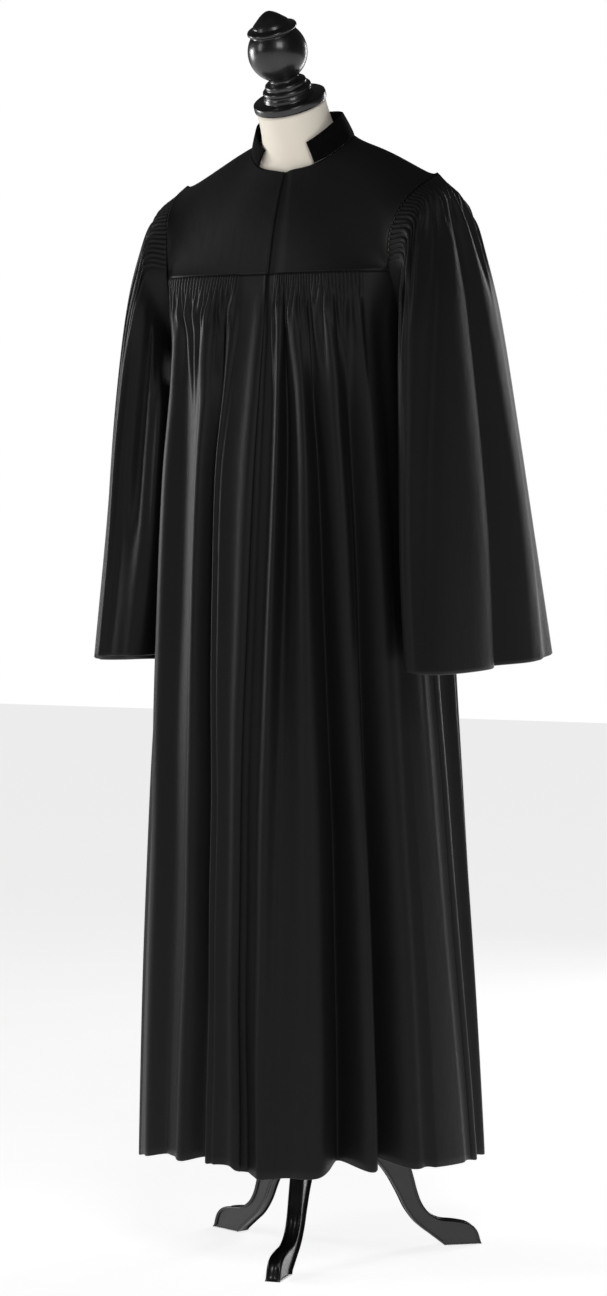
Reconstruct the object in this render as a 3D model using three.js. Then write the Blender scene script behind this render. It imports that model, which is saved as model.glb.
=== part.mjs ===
// A black clergy robe worn by a turned-wood dress form on a tripod.
//
// Millimetres, +Z up, the robe facing -Y, so the wearer's left is +X. Everything is laid out round a
// vertical axis through the middle of the robe, and the whole group is moved at the end so that the
// origin lies on the floor below the middle of its bounding box.
//
// The cloth is a thin wall: each piece is a smooth middle surface, given as a function of a place
// across the piece and a place down it, with half the cloth's thickness on either side.
import * as THREE from "three";

const CLOTH = 1.6; // wall thickness of the wool
const SEAM = 0.3; // gap between two sewn edges
const LAP = CLOTH + 0.8; // how far the under-lap lies behind the front edge
const YOKE_SEAM = 1396; // height of the front yoke seam
const BACK_SEAM = 1428; // height of the back yoke seam
const UNDERARM = 1290; // lowest point of the armhole
const HEM = 148; // height of the robe's hem
const HEM_LIFT = 0.2; // rise of the hem for each millimetre that a fold draws it in
const COLLAR_HEIGHT = 32.5;
const PLEAT_BAND = 32; // length of the stitched-down pleats below a seam
const PLEAT_RISE = 1.7; // how far a pleat stands out of the cloth
const SEATED = 0.3; // gap between two parts of the stand that rest on each other

// ---------------------------------------------------------------- reading the tables

const mix = (a, b, t) => a + (b - a) * t;
const clamp01 = (t) => Math.min(1, Math.max(0, t));
const smooth = (from, to, x) => {
  const t = clamp01((x - from) / (to - from));
  return t * t * (3 - 2 * t);
};

// Evenly spaced places from one to another, both included.
const spread = (from, to, count) =>
  Array.from({ length: count + 1 }, (_, i) => mix(from, to, i / count));

// The value of one column of a table at a place along its key column, on a smooth curve through the rows.
function along(rows, key, column, at) {
  const rising = rows[rows.length - 1][key] > rows[0][key] ? 1 : -1;
  let i = 0;
  while (i < rows.length - 2 && rising * (at - rows[i + 1][key]) > 0) i++;
  const [a, b] = [rows[i], rows[i + 1]];
  const before = rows[Math.max(0, i - 1)];
  const after = rows[Math.min(rows.length - 1, i + 2)];
  const span = b[key] - a[key];
  const t = clamp01((at - a[key]) / span);
  const slope = (p, q) => ((q[column] - p[column]) / (q[key] - p[key])) * span;
  const startSlope = before === a ? slope(a, b) : slope(before, b);
  const endSlope = after === b ? slope(a, b) : slope(a, after);
  const [t2, t3] = [t * t, t * t * t];
  return (
    (2 * t3 - 3 * t2 + 1) * a[column] +
    (t3 - 2 * t2 + t) * startSlope +
    (3 * t2 - 2 * t3) * b[column] +
    (t3 - t2) * endSlope
  );
}

// ---------------------------------------------------------------- the hang of the robe's body

// Level sections of the body, over the crests of the folds: half width, depth in front of and behind
// the axis, and how square the front and back halves are (2 is an ellipse).
const BODY = [
  { z: 1440, side: 190, front: 118, back: 106, frontSquare: 4.6, backSquare: 3.8 },
  { z: 1396, side: 190, front: 131, back: 112, frontSquare: 4.6, backSquare: 3.7 },
  { z: 1325, side: 178, front: 143, back: 121, frontSquare: 4.4, backSquare: 3.6 },
  { z: 1240, side: 180, front: 163, back: 133, frontSquare: 4.0, backSquare: 3.4 },
  { z: 1110, side: 187, front: 190, back: 148, frontSquare: 3.6, backSquare: 3.2 },
  { z: 860, side: 199, front: 213, back: 172, frontSquare: 3.1, backSquare: 2.8 },
  { z: 650, side: 214, front: 221, back: 193, frontSquare: 2.7, backSquare: 2.5 },
  { z: 400, side: 231, front: 229, back: 219, frontSquare: 2.4, backSquare: 2.3 },
  { z: 120, side: 247, front: 238, back: 247, frontSquare: 2.1, backSquare: 2.1 },
];

// A point of the section at height z, at an angle in degrees from the front towards the wearer's left.
function section(angle, z) {
  const a = THREE.MathUtils.degToRad(angle);
  const [s, c] = [Math.sin(a), Math.cos(a)];
  const half = c > 0 ? "front" : "back";
  const power = along(BODY, "z", half + "Square", z);
  const across = Math.abs(s / along(BODY, "z", "side", z)) ** power;
  const deep = Math.abs(c / along(BODY, "z", half, z)) ** power;
  const r = (across + deep) ** (-1 / power);
  return new THREE.Vector3(r * s, -r * c, z);
}

// The hollows between the folds, in order round the body from behind the wearer's right side: the
// angle and the depth of each one below the yoke, at the elbow, at the knee and at the hem.
const LEVELS = [
  { z: 1345, angle: "top", depth: "dTop" },
  { z: 1110, angle: "mid", depth: "dMid" },
  { z: 650, angle: "low", depth: "dLow" },
  { z: 150, angle: "hem", depth: "dHem" },
];
const HOLLOWS = [
  { top: -170, mid: -172, low: -176, hem: -178, dTop: 6, dMid: 16, dLow: 30, dHem: 44 },
  { top: -159, mid: -157, low: -158, hem: -160, dTop: 6, dMid: 20, dLow: 20, dHem: 16 },
  { top: -148, mid: -146, low: -143, hem: -139, dTop: 6, dMid: 14, dLow: 34, dHem: 50 },
  { top: -136, mid: -134, low: -127, hem: -122, dTop: 5, dMid: 20, dLow: 12, dHem: 10 },
  { top: -123, mid: -119, low: -113, hem: -106, dTop: 4, dMid: 12, dLow: 26, dHem: 38 },
  { top: -104, mid: -99, low: -93, hem: -88, dTop: 0, dMid: 6, dLow: 12, dHem: 14 },
  { top: -76, mid: -76, low: -70, hem: -71, dTop: 1, dMid: 12, dLow: 22, dHem: 30 },
  { top: -62, mid: -57, low: -54, hem: -56, dTop: 5, dMid: 14, dLow: 8, dHem: 4 },
  { top: -46, mid: -33, low: -29.5, hem: -34, dTop: 8, dMid: 26, dLow: 26, dHem: 24 },
  { top: -36, mid: -24.5, low: -20, hem: -22, dTop: 7, dMid: 8, dLow: 0, dHem: 0 },
  { top: -26, mid: -14.5, low: -10, hem: -10.5, dTop: 8, dMid: 28, dLow: 30, dHem: 28 },
  { top: -13, mid: -4, low: -2, hem: -1, dTop: 5, dMid: 2, dLow: 2, dHem: 2 },
  { top: 4, mid: 7.5, low: 5, hem: 6.5, dTop: 6, dMid: 13, dLow: 13, dHem: 16 },
  { top: 15, mid: 20.5, low: 22, hem: 20, dTop: 7, dMid: 22, dLow: 10, dHem: 3 },
  { top: 29, mid: 34, low: 38.5, hem: 41, dTop: 8, dMid: 30, dLow: 47, dHem: 56 },
  { top: 45, mid: 47, low: 53, hem: 57, dTop: 7, dMid: 28, dLow: 43, dHem: 52 },
  { top: 60, mid: 65, low: 70, hem: 74, dTop: 4, dMid: 20, dLow: 9, dHem: 4 },
  { top: 78, mid: 78, low: 83, hem: 91, dTop: 0, dMid: 6, dLow: 14, dHem: 8 },
  { top: 103, mid: 98, low: 99, hem: 106, dTop: 0, dMid: 8, dLow: 18, dHem: 32 },
  { top: 121, mid: 117, low: 115, hem: 121, dTop: 4, dMid: 14, dLow: 26, dHem: 8 },
  { top: 134, mid: 132, low: 132, hem: 136, dTop: 5, dMid: 20, dLow: 34, dHem: 52 },
  { top: 146, mid: 146, low: 149, hem: 151, dTop: 6, dMid: 16, dLow: 14, dHem: 10 },
  { top: 158, mid: 160, low: 165, hem: 166, dTop: 6, dMid: 20, dLow: 28, dHem: 40 },
  { top: 174, mid: 174, low: 172, hem: 174, dTop: 6, dMid: 14, dLow: 8, dHem: 4 },
];

// One row of a table of folds at some place down the cloth.
function rowAt(row, levels, key, at) {
  const asRows = levels.map((l) => ({
    at: l[key],
    angle: row[l.angle],
    depth: row[l.depth],
  }));
  return { angle: along(asRows, "at", "angle", at), depth: along(asRows, "at", "depth", at) };
}

// Reads a table of folds at one place down the cloth, with the folds numbered round the loop: the angle
// and depth at a fractional number. Angles grow by the whole turn from one lap of the table to the next.
function foldReader(table, levels, key, at, turn = 360) {
  const rows = table.map((row) => rowAt(row, levels, key, at));
  const n = rows.length;
  const lapped = (i) => {
    const lap = Math.floor(i / n);
    const row = rows[i - lap * n];
    return { angle: row.angle + lap * turn, depth: row.depth };
  };
  return (number) => {
    const i = Math.floor(number);
    const near = [-1, 0, 1, 2].map((k) => ({ at: i + k, ...lapped(i + k) }));
    return {
      angle: along(near, "at", "angle", number),
      depth: along(near, "at", "depth", number),
    };
  };
}

// The fold number whose line starts at an angle at the top of the cloth.
function foldNumber(reader, count, angle) {
  let [low, high] = [-count, 2 * count];
  for (let i = 0; i < 40; i++) {
    const middle = (low + high) / 2;
    if (reader(middle).angle < angle) low = middle;
    else high = middle;
  }
  return (low + high) / 2;
}

// 1 at the bottom of a hollow and 0 on the crests beside it, which are the broader of the two.
const HOLLOW_POWER = 1.6;
const hollow = (number) => (0.5 + 0.5 * Math.cos(2 * Math.PI * number)) ** HOLLOW_POWER;

const bodyTop = foldReader(HOLLOWS, LEVELS, "z", LEVELS[0].z);
const bodyReaders = new Map();
function bodyFold(number, z) {
  const key = Math.round(z * 4);
  if (!bodyReaders.has(key)) bodyReaders.set(key, foldReader(HOLLOWS, LEVELS, "z", z));
  return bodyReaders.get(key)(number);
}

// How far the hem hangs above its own level, by the angle where its line starts at the top.
const HEM_RISES = [
  { angle: -180, rise: 0 },
  { angle: -100, rise: -4 },
  { angle: -72, rise: -8 },
  { angle: -48, rise: 10 },
  { angle: -4, rise: 17 },
  { angle: 4, rise: 5 },
  { angle: 16, rise: 2 },
  { angle: 36, rise: 13 },
  { angle: 75, rise: 7 },
  { angle: 115, rise: 0 },
  { angle: 180, rise: 0 },
];

const LEVEL_BODY = 1150; // below here every row of the body is level
const FRONT_CORNER = 61.2; // angle where the yoke seam meets the armhole, in front
const BACK_CORNER = 119; // and behind

// The same angle between -180 and 180.
const turned = (angle) => ((((angle + 180) % 360) + 360) % 360) - 180;

// Height of the body pieces' top edge: the yoke seams, and between them the lower half of the armhole.
function topEdge(angle) {
  const a = Math.abs(turned(angle));
  if (a <= FRONT_CORNER) return YOKE_SEAM;
  if (a >= BACK_CORNER) return BACK_SEAM;
  const corner = a < 90 ? FRONT_CORNER : BACK_CORNER;
  const seam = a < 90 ? YOKE_SEAM : BACK_SEAM;
  return UNDERARM + (seam - UNDERARM) * ((90 - a) / (90 - corner)) ** 2.3;
}

// A point of the robe's body: the angle is where its line starts at the top, and level is the height
// that it would have if the top edge were as level as the yoke seam.
function bodyPoint(angle, level) {
  const number = foldNumber(bodyTop, HOLLOWS.length, angle);
  const top = topEdge(angle);
  const share = (level - LEVEL_BODY) / (YOKE_SEAM - LEVEL_BODY);
  const z = level > LEVEL_BODY ? mix(LEVEL_BODY, top, share) : level;
  const fold = bodyFold(number, z);
  const opened = smooth(top, top - 90, z);
  const depth = Math.max(0, fold.depth) * hollow(number) * opened;
  const p = section(fold.angle, z);
  const radial = new THREE.Vector3(p.x, p.y, 0).normalize();
  p.addScaledVector(radial, -depth);
  const rise = along(HEM_RISES, "angle", "rise", turned(angle)) + HEM_LIFT * depth;
  p.z += rise * smooth(420, HEM, z);
  return p;
}

// ---------------------------------------------------------------- walls of cloth

// The outward direction of a surface, from points a little way across and down it.
function normalOf(surface, u, v, du, dv) {
  const across = surface(u + du, v).sub(surface(u - du, v));
  const down = surface(u, v + dv).sub(surface(u, v - dv));
  return down.cross(across).normalize();
}

// Joins two rows of vertices of any lengths with triangles, in step with their places across.
function stitch(faces, upper, lower, flip) {
  let [i, j] = [0, 0];
  while (i < upper.length - 1 || j < lower.length - 1) {
    const nextUpper = i < upper.length - 1 ? upper[i + 1].at : Infinity;
    const nextLower = j < lower.length - 1 ? lower[j + 1].at : Infinity;
    const onUpper = nextUpper <= nextLower;
    const third = onUpper ? upper[i + 1].index : lower[j + 1].index;
    const face = [upper[i].index, lower[j].index, third];
    faces.push(...(flip ? face.reverse() : face));
    if (onUpper) i++;
    else j++;
  }
}

// A wall of cloth. rows holds { v, places }: the place down the piece and the places across it, and
// where the outer face has pleats the fewer places behind them as well. The raise function gives how
// far the outer face stands out there. A piece whose places go round a whole turn is closed into a tube.
function clothWall({ surface, rows, step, raise = () => 0, turn = 0, thick = CLOTH }) {
  const points = [];
  const faces = [];
  const sides = [1, -1].map((side) =>
    rows.map(({ v, places, behind = places }) =>
      (side > 0 ? places : behind).map((u) => {
        const n = normalOf(surface, u, v, step.u, step.v);
        const proud = side > 0 ? raise(u, v) : 0;
        const p = surface(u, v).addScaledVector(n, (side * thick) / 2 + proud);
        points.push(p);
        return { index: points.length - 1, at: u };
      }),
    ),
  );
  if (turn)
    for (const side of sides)
      for (const row of side) row.push({ index: row[0].index, at: row[0].at + turn });
  const [outer, inner] = sides;
  for (let k = 0; k < rows.length - 1; k++) {
    stitch(faces, outer[k], outer[k + 1], false);
    stitch(faces, inner[k], inner[k + 1], true);
  }
  stitch(faces, inner[0], outer[0], false);
  stitch(faces, outer.at(-1), inner.at(-1), false);
  if (!turn) {
    const edge = (side, end) => side.map((row, k) => ({ index: row.at(end).index, at: k }));
    stitch(faces, edge(inner, 0), edge(outer, 0), true);
    stitch(faces, edge(inner, -1), edge(outer, -1), false);
  }
  return solidGeometry(points, faces);
}

function solidGeometry(points, faces) {
  const geometry = new THREE.BufferGeometry().setFromPoints(points);
  geometry.setIndex(faces);
  return geometry;
}

// A band of pleats: count of them between two places. A pleat's crest stands out, its sides don't.
const pleatWave = ({ from, to, count }, u) => {
  const number = ((u - from) / (to - from)) * count;
  return number <= 0 || number >= count ? 0 : Math.sin(Math.PI * number) ** 2;
};
const pleatPlaces = ({ from, to, count }) => spread(from, to, 2 * count);

// ---------------------------------------------------------------- the robe's body pieces

// The pieces of the body: the places across them, as angles at the top, and their bands of pleats.
const SIDE_GAP = 0.1; // degrees on each side of a side seam
const FRONT_EDGE = 1.5; // the right front laps over the left one to here
const UNDER_EDGE = -13; // and the left one runs on behind it to here
const LAP_PLACES = spread(UNDER_EDGE, FRONT_EDGE, 4); // places that both fronts share there
const BODY_PIECES = {
  front_right: {
    plain: [...spread(SIDE_GAP - 90, -FRONT_CORNER, 6), ...spread(-57.8, -16.7, 12), ...LAP_PLACES],
    pleats: { from: -58, to: -16.5, count: 28 },
  },
  front_left: {
    plain: [...LAP_PLACES, ...spread(5, 57.5, 15), ...spread(FRONT_CORNER, 90 - SIDE_GAP, 6)],
    pleats: { from: 7, to: 52, count: 30 },
  },
  back: {
    plain: [
      ...spread(90 + SIDE_GAP, BACK_CORNER, 6),
      ...spread(122.5, 237.5, 29),
      ...spread(360 - BACK_CORNER, 270 - SIDE_GAP, 6),
    ],
    pleats: { from: 126, to: 234, count: 52 },
  },
};
const BODY_LEVELS = [1305, 1220, 1110, 970, 800, 610, 420, 270, HEM];

// The left front drops behind the right one: nothing at its own side, the full lap behind the edge.
const underLap = (angle) => LAP * smooth(9, 2.5, angle);

function bodySurface(name) {
  if (name !== "front_left") return bodyPoint;
  return (angle, level) => {
    const lap = underLap(angle);
    const p = bodyPoint(angle, level);
    return lap ? p.addScaledVector(normalOf(bodyPoint, angle, level, 0.25, -2), -lap) : p;
  };
}

function bodyPiece(name) {
  const { plain, pleats } = BODY_PIECES[name];
  const edge = YOKE_SEAM - SEAM;
  const bandEnd = edge - PLEAT_BAND;
  const banded = [
    ...plain.filter((u) => u < pleats.from - 0.5),
    ...pleatPlaces(pleats),
    ...plain.filter((u) => u > pleats.to + 0.5),
  ];
  const rows = [
    { v: edge, places: banded, behind: plain },
    { v: bandEnd, places: banded, behind: plain },
    ...BODY_LEVELS.map((v) => ({ v, places: plain })),
  ];
  const raise = (u, v) => (v >= bandEnd ? PLEAT_RISE * pleatWave(pleats, u) : 0);
  return clothWall({ surface: bodySurface(name), rows, raise, step: { u: 0.25, v: -2 } });
}

// ---------------------------------------------------------------- neckline, armhole and yoke

// The neckline, by the angle from the front: it dips in front and is highest behind.
const NECK_HALF_WIDTH = 76;
const NECK_HALF_DEPTH = 57;
const NECK_CENTRE_Y = -23;
const NECK_HEIGHTS = [
  { angle: 0, z: 1541 },
  { angle: 35, z: 1551 },
  { angle: 90, z: 1587 },
  { angle: 135, z: 1600 },
  { angle: 180, z: 1603 },
];
function neckline(angle) {
  const a = THREE.MathUtils.degToRad(angle);
  return new THREE.Vector3(
    NECK_HALF_WIDTH * Math.sin(a),
    NECK_CENTRE_Y - NECK_HALF_DEPTH * Math.cos(a),
    along(NECK_HEIGHTS, "angle", "z", Math.abs(turned(angle))),
  );
}

const SHOULDER = new THREE.Vector3(205, -3, 1537); // top of the wearer's left armhole
const frontCorner = section(FRONT_CORNER, YOKE_SEAM);
const backCorner = section(BACK_CORNER, BACK_SEAM);
const frontArmhole = new THREE.CatmullRomCurve3([
  frontCorner,
  new THREE.Vector3(179.5, -99, 1445),
  new THREE.Vector3(188, -84, 1484),
  new THREE.Vector3(198, -50, 1514),
  SHOULDER,
]);
const backArmhole = new THREE.CatmullRomCurve3([
  SHOULDER,
  new THREE.Vector3(199, 42, 1518),
  new THREE.Vector3(188, 78, 1484),
  backCorner,
]);

// The yoke's outer edge over the wearer's left half: along the front seam, up and over the armhole and
// along the back seam. t runs 0 to 1 in front and 1 to 2 behind; the shoulder is at 1.
const CORNER_T = 0.52; // share of the front edge that is seam, and of the back one
function yokeEdge(t) {
  if (t <= CORNER_T) return section((t / CORNER_T) * FRONT_CORNER, YOKE_SEAM);
  if (t <= 1) return frontArmhole.getPoint((t - CORNER_T) / (1 - CORNER_T));
  if (t <= 2 - CORNER_T) return backArmhole.getPoint((t - 1) / (1 - CORNER_T));
  return section(mix(180, BACK_CORNER, (2 - t) / CORNER_T), BACK_SEAM);
}

// A line of the yoke from the neckline, at v 0, to the edge, at v 1: t goes round the edge as above,
// below 0 or above 2 on the wearer's right. The cloth swells a little between the two.
const CHEST_SWELL = 7;
const BACK_SWELL = 9;
const SHOULDER_SWELL = { left: 11, right: 5 }; // the wearer's left shoulder is the fuller one
function yokeLine(t, v) {
  const mirrored = t < 0 || t > 2;
  const s = t < 0 ? -t : t > 2 ? 4 - t : t;
  const inner = neckline(90 * s);
  const outer = yokeEdge(s);
  const p = inner.clone().lerp(outer, v);
  const flat = Math.abs(Math.cos((Math.PI / 2) * s));
  const bowed = Math.sin(Math.PI * clamp01(v)) ** 1.2;
  const swell = (s < 1 ? CHEST_SWELL : BACK_SWELL) * flat * bowed;
  const out = new THREE.Vector3(outer.x - inner.x, outer.y - inner.y, 0).normalize();
  p.addScaledVector(out, 0.8 * swell);
  const lift = mirrored ? SHOULDER_SWELL.right : SHOULDER_SWELL.left;
  p.z += 0.6 * swell + lift * (1 - flat) ** 2 * bowed;
  if (mirrored) p.x *= -1;
  return p;
}

// A point of the yoke. Its cloth is eased over the corners of the edge: each point lies in the middle
// of the points beside it, so that no crease runs from a corner to the neck.
const EASE = 0.16;
const EASE_PLACES = spread(-1, 1, 8);
function yokePoint(t, v) {
  const reach = EASE * Math.sin(Math.PI * clamp01(v)) ** 0.7;
  const beside = (u) => (u > 3 ? u - 4 : u < -1 ? u + 4 : u);
  return EASE_PLACES.map((place) => yokeLine(beside(t + place * reach), v))
    .reduce((sum, p) => sum.add(p), new THREE.Vector3())
    .divideScalar(EASE_PLACES.length);
}

const YOKE_ROWS = spread(0, 1, 5);
const UNDER_T = 0.17; // how far the left yoke runs on behind the right one
const EDGE_T = 0.02; // how far the right yoke laps past the middle
const SHOULDER_GAP = 0.0022;
const YOKE_LAP = spread(-UNDER_T, EDGE_T, 3); // places that both front yokes share
const YOKE_PIECES = {
  yoke_front_right: [
    ...spread(SHOULDER_GAP - 1, -CORNER_T, 7),
    ...spread(-0.46, -0.23, 4),
    ...YOKE_LAP,
  ],
  yoke_front_left: [
    ...YOKE_LAP,
    ...spread(0.07, 0.46, 6),
    ...spread(CORNER_T, 1 - SHOULDER_GAP, 7),
  ],
  yoke_back: [
    ...spread(1 + SHOULDER_GAP, 2 - CORNER_T, 7),
    ...spread(1.55, 2.45, 13),
    ...spread(2 + CORNER_T, 3 - SHOULDER_GAP, 7),
  ],
};
function yokePiece(name) {
  const lapped = name === "yoke_front_left";
  const surface = (t, v) => {
    const p = yokePoint(t, v);
    if (!lapped) return p;
    const n = normalOf(yokePoint, t, v, 0.01, 0.01);
    return p.addScaledVector(n, -LAP * smooth(0.13, 0.04, t));
  };
  const rows = YOKE_ROWS.map((v) => ({ v, places: YOKE_PIECES[name] }));
  return clothWall({ surface, rows, step: { u: 0.004, v: 0.01 } });
}

// ---------------------------------------------------------------- the collar

// The neck leans forwards, and the collar and everything above it follow its axis.
const NECK_LEAN = THREE.MathUtils.degToRad(28);
const neckAxis = new THREE.Vector3(0, -Math.sin(NECK_LEAN), Math.cos(NECK_LEAN));

// A stand collar on the neckline. It stops short of the middle in front, and its ends slope forwards.
const COLLAR_END = 36; // angle round the neck where the collar starts
const COLLAR_LEAN = { front: 15.5, back: 5.5 }; // how far its top edge lies inside its foot
const COLLAR_DROP = 8; // how much lower its right end is
const COLLAR_LIFT = 1.35; // gap between its foot and the middle of the yoke's cloth
const VELVET = 2.4; // wall thickness of the velvet over its stiffening
function collarPoint(angle, v) {
  const foot = neckline(angle);
  const outwards = new THREE.Vector3(foot.x, foot.y - NECK_CENTRE_Y, 0).normalize();
  const ahead = 0.5 + 0.5 * Math.cos(THREE.MathUtils.degToRad(angle));
  const lean = mix(COLLAR_LEAN.back, COLLAR_LEAN.front, ahead);
  foot.addScaledVector(outwards, -0.2 - lean * Math.max(0, v) ** 1.3);
  const height = COLLAR_HEIGHT - COLLAR_DROP * smooth(230, 320, angle);
  return foot.addScaledVector(neckAxis, COLLAR_LIFT + height * v);
}
function collarPiece() {
  const surface = (u, v) => collarPoint(u, 1 - v);
  const rows = spread(0, 1, 3).map((v) => ({
    v,
    places: spread(COLLAR_END, 360 - COLLAR_END, 34),
  }));
  return clothWall({ surface, rows, step: { u: 1, v: 0.05 }, thick: VELVET });
}

// ---------------------------------------------------------------- the sleeves

// Loops of the left sleeve below the armhole: the place down the sleeve, then the loop's points
// furthest out, in, forward and back, and how square it is.
const loop = (v, square, out, inn, front, back) => ({ v, square, out, inn, front, back });
const SLEEVE_LOOPS = [
  loop(0.05, 1.9, [222, 2, 1510], [197, -2, 1284], [206, -110, 1418], [206, 110, 1418]),
  loop(0.12, 2, [236, 10, 1470], [199, 4, 1246], [213, -127, 1372], [213, 124, 1368]),
  loop(0.24, 2.2, [250, 20, 1388], [200, 8, 1178], [222, -142, 1292], [222, 139, 1288]),
  loop(0.45, 2.4, [266, 30, 1232], [203, 14, 1072], [233, -153, 1158], [236, 159, 1150]),
  loop(0.72, 2.5, [280, 42, 1040], [210, 20, 960], [243, -162, 1002], [251, 185, 996]),
  loop(1, 2.5, [290, 48, 850], [219, 26, 862], [256, -171, 848], [266, 210, 866]),
];

// The hollows round a sleeve, in order from the outside forwards: their angles and depths at five
// places from the end of the pleats to the cuff. A depth below zero is a ridge.
const SLEEVE_LEVELS = [0.08, 0.3, 0.5, 0.72, 1].map((v, k) => ({
  v,
  angle: "angle" + k,
  depth: "depth" + k,
}));
const sleeveHollow = (angles, depths) =>
  Object.fromEntries(
    SLEEVE_LEVELS.flatMap((level, k) => [[level.angle, angles[k]], [level.depth, depths[k]]]),
  );
const LEFT_HOLLOWS = [
  sleeveHollow([6, 2, -4, -8, -6], [5, 12, 18, 24, 28]),
  sleeveHollow([33, 45, 53, 60, 64], [10, 14, 14, 8, 1]),
  sleeveHollow([78, 86, 92, 95, 97], [6, 6, 5, 6, 8]),
  sleeveHollow([146, 146, 146, 148, 150], [2, 5, 8, 10, 12]),
  sleeveHollow([205, 206, 208, 209, 210], [2, 6, 10, 13, 16]),
  sleeveHollow([258, 258, 260, 262, 264], [8, 10, 12, 14, 16]),
  sleeveHollow([325, 317, 313, 311, 313], [8, 10, 12, 12, 10]),
];
const RIGHT_HOLLOWS = [
  sleeveHollow([14, 8, 2, -3, -7], [8, 14, 20, 24, 26]),
  sleeveHollow([38, 38, 38, 36, 34], [6, 6, 5, 4, 3]),
  sleeveHollow([66, 66, 66, 64, 60], [8, 13, 14, 10, 5]),
  sleeveHollow([93, 92, 92, 94, 98], [-5, -7, -8, -8, -8]),
  sleeveHollow([117, 117, 118, 120, 122], [9, 17, 17, 3, 2]),
  sleeveHollow([139, 137, 137, 138, 140], [-8, -14, -14, -12, -8]),
  sleeveHollow([162, 160, 160, 161, 163], [4, 5, 5, 5, 5]),
  sleeveHollow([208, 210, 210, 211, 212], [2, 6, 10, 13, 16]),
  sleeveHollow([264, 263, 262, 264, 266], [8, 10, 12, 14, 16]),
  sleeveHollow([312, 312, 312, 314, 316], [10, 12, 13, 12, 10]),
];

// The armhole, from the shoulder forwards under the arm and up behind.
const armholeFront = new THREE.CatmullRomCurve3([
  ...spread(1, 0.14, 6).map((t) => frontArmhole.getPoint(t)),
  ...spread(FRONT_CORNER, 90, 5).map((angle) => bodyPoint(angle, YOKE_SEAM)),
]);
const armholeBack = new THREE.CatmullRomCurve3([
  ...spread(90, BACK_CORNER, 5).map((angle) => bodyPoint(angle, YOKE_SEAM)),
  ...spread(0.86, 0, 6).map((t) => backArmhole.getPoint(t)),
]);
function armhole(angle) {
  const a = ((angle % 360) + 360) % 360;
  return a <= 180 ? armholeFront.getPointAt(a / 180) : armholeBack.getPointAt(a / 180 - 1);
}

// The right sleeve lies closer to the body than the left one: how far its loops' foremost and inmost
// points are moved for that, and the share of it at a place down the sleeve.
const DRAWN_BACK = { front: new THREE.Vector3(5, 28, 17), inn: new THREE.Vector3(-9, 0, 0) };
const drawnShare = (v) => smooth(0.03, 0.3, v) * (1 - 0.25 * smooth(0.7, 1, v));

// A point of one loop of the table: a squarish oval through the four points of the row.
function loopPoint(row, angle, side) {
  const a = THREE.MathUtils.degToRad(angle);
  const [c, s] = [Math.cos(a), Math.sin(a)];
  const r = (Math.abs(c) ** row.square + Math.abs(s) ** row.square) ** (-1 / row.square);
  const [out, inn, front, back] = [row.out, row.inn, row.front, row.back].map(
    (p) => new THREE.Vector3(...p),
  );
  if (side < 0) {
    front.addScaledVector(DRAWN_BACK.front, drawnShare(row.v));
    inn.addScaledVector(DRAWN_BACK.inn, drawnShare(row.v));
  }
  const centre = out.clone().add(inn).add(front).add(back).multiplyScalar(0.25);
  const along1 = (c > 0 ? out : inn).clone().sub(centre).multiplyScalar(r * Math.abs(c));
  const along2 = (s > 0 ? front : back).clone().sub(centre).multiplyScalar(r * Math.abs(s));
  return centre.add(along1).add(along2);
}

// The smooth sleeve before its folds, on a curve down through the armhole and the loops.
function sleeveShape(angle, v, side) {
  const start = armhole(angle);
  const points = SLEEVE_LOOPS.map((row) => ({ v: row.v, p: loopPoint(row, angle, side) }));
  const under = 0.5 - 0.5 * Math.cos(THREE.MathUtils.degToRad(angle));
  const gap = mix(1.3, 2.6, under);
  start.addScaledVector(points[0].p.clone().sub(start).normalize(), gap);
  const rows = [{ v: 0, p: start }, ...points].map(({ v: at, p }) => ({ v: at, x: p.x, y: p.y, z: p.z }));
  return new THREE.Vector3(...["x", "y", "z"].map((axis) => along(rows, "v", axis, v)));
}

function sleevePoint(hollows, angle, v, side) {
  const number = foldNumber(foldReader(hollows, SLEEVE_LEVELS, "v", 0), hollows.length, angle);
  const fold = foldReader(hollows, SLEEVE_LEVELS, "v", v)(number);
  const p = sleeveShape(fold.angle, v, side);
  const opposite = sleeveShape(fold.angle + 180, v, side);
  const depth = fold.depth * hollow(number) * smooth(0.05, 0.16, v);
  const inwards = opposite.sub(p).setZ(0).normalize();
  return p.addScaledVector(inwards, depth);
}

const SLEEVE_PLEATS = { back: -78, front: 95, count: 44 };
const SLEEVE_ROWS = [0.1, 0.17, 0.27, 0.42, 0.6, 0.8, 1];
const SLEEVE_COLUMNS = 48;

// A sleeve: side is 1 on the wearer's left and -1 on the right, where it is mirrored.
function sleevePiece(side) {
  const hollows = side > 0 ? LEFT_HOLLOWS : RIGHT_HOLLOWS;
  const surface = (angle, v) => {
    const p = sleevePoint(hollows, side * angle, v, side);
    p.x *= side;
    return p;
  };
  const { back, front, count } = SLEEVE_PLEATS;
  const pleats = side > 0 ? { from: back, to: front, count } : { from: -front, to: -back, count };
  const { from, to } = pleats;
  const plain = spread(from, from + 360, SLEEVE_COLUMNS).slice(0, -1);
  const banded = [...pleatPlaces(pleats), ...spread(to, from + 360, 20).slice(1, -1)];
  const bandEnd = SLEEVE_LOOPS[0].v;
  const rows = [
    { v: 0, places: banded, behind: plain },
    { v: bandEnd, places: banded, behind: plain },
    ...SLEEVE_ROWS.map((v) => ({ v, places: plain })),
  ];
  const raise = (u, v) => (v <= bandEnd ? PLEAT_RISE * pleatWave(pleats, u) : 0);
  return clothWall({ surface, rows, raise, step: { u: 0.5, v: 0.004 }, turn: 360 });
}

// ---------------------------------------------------------------- the dress form

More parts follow.
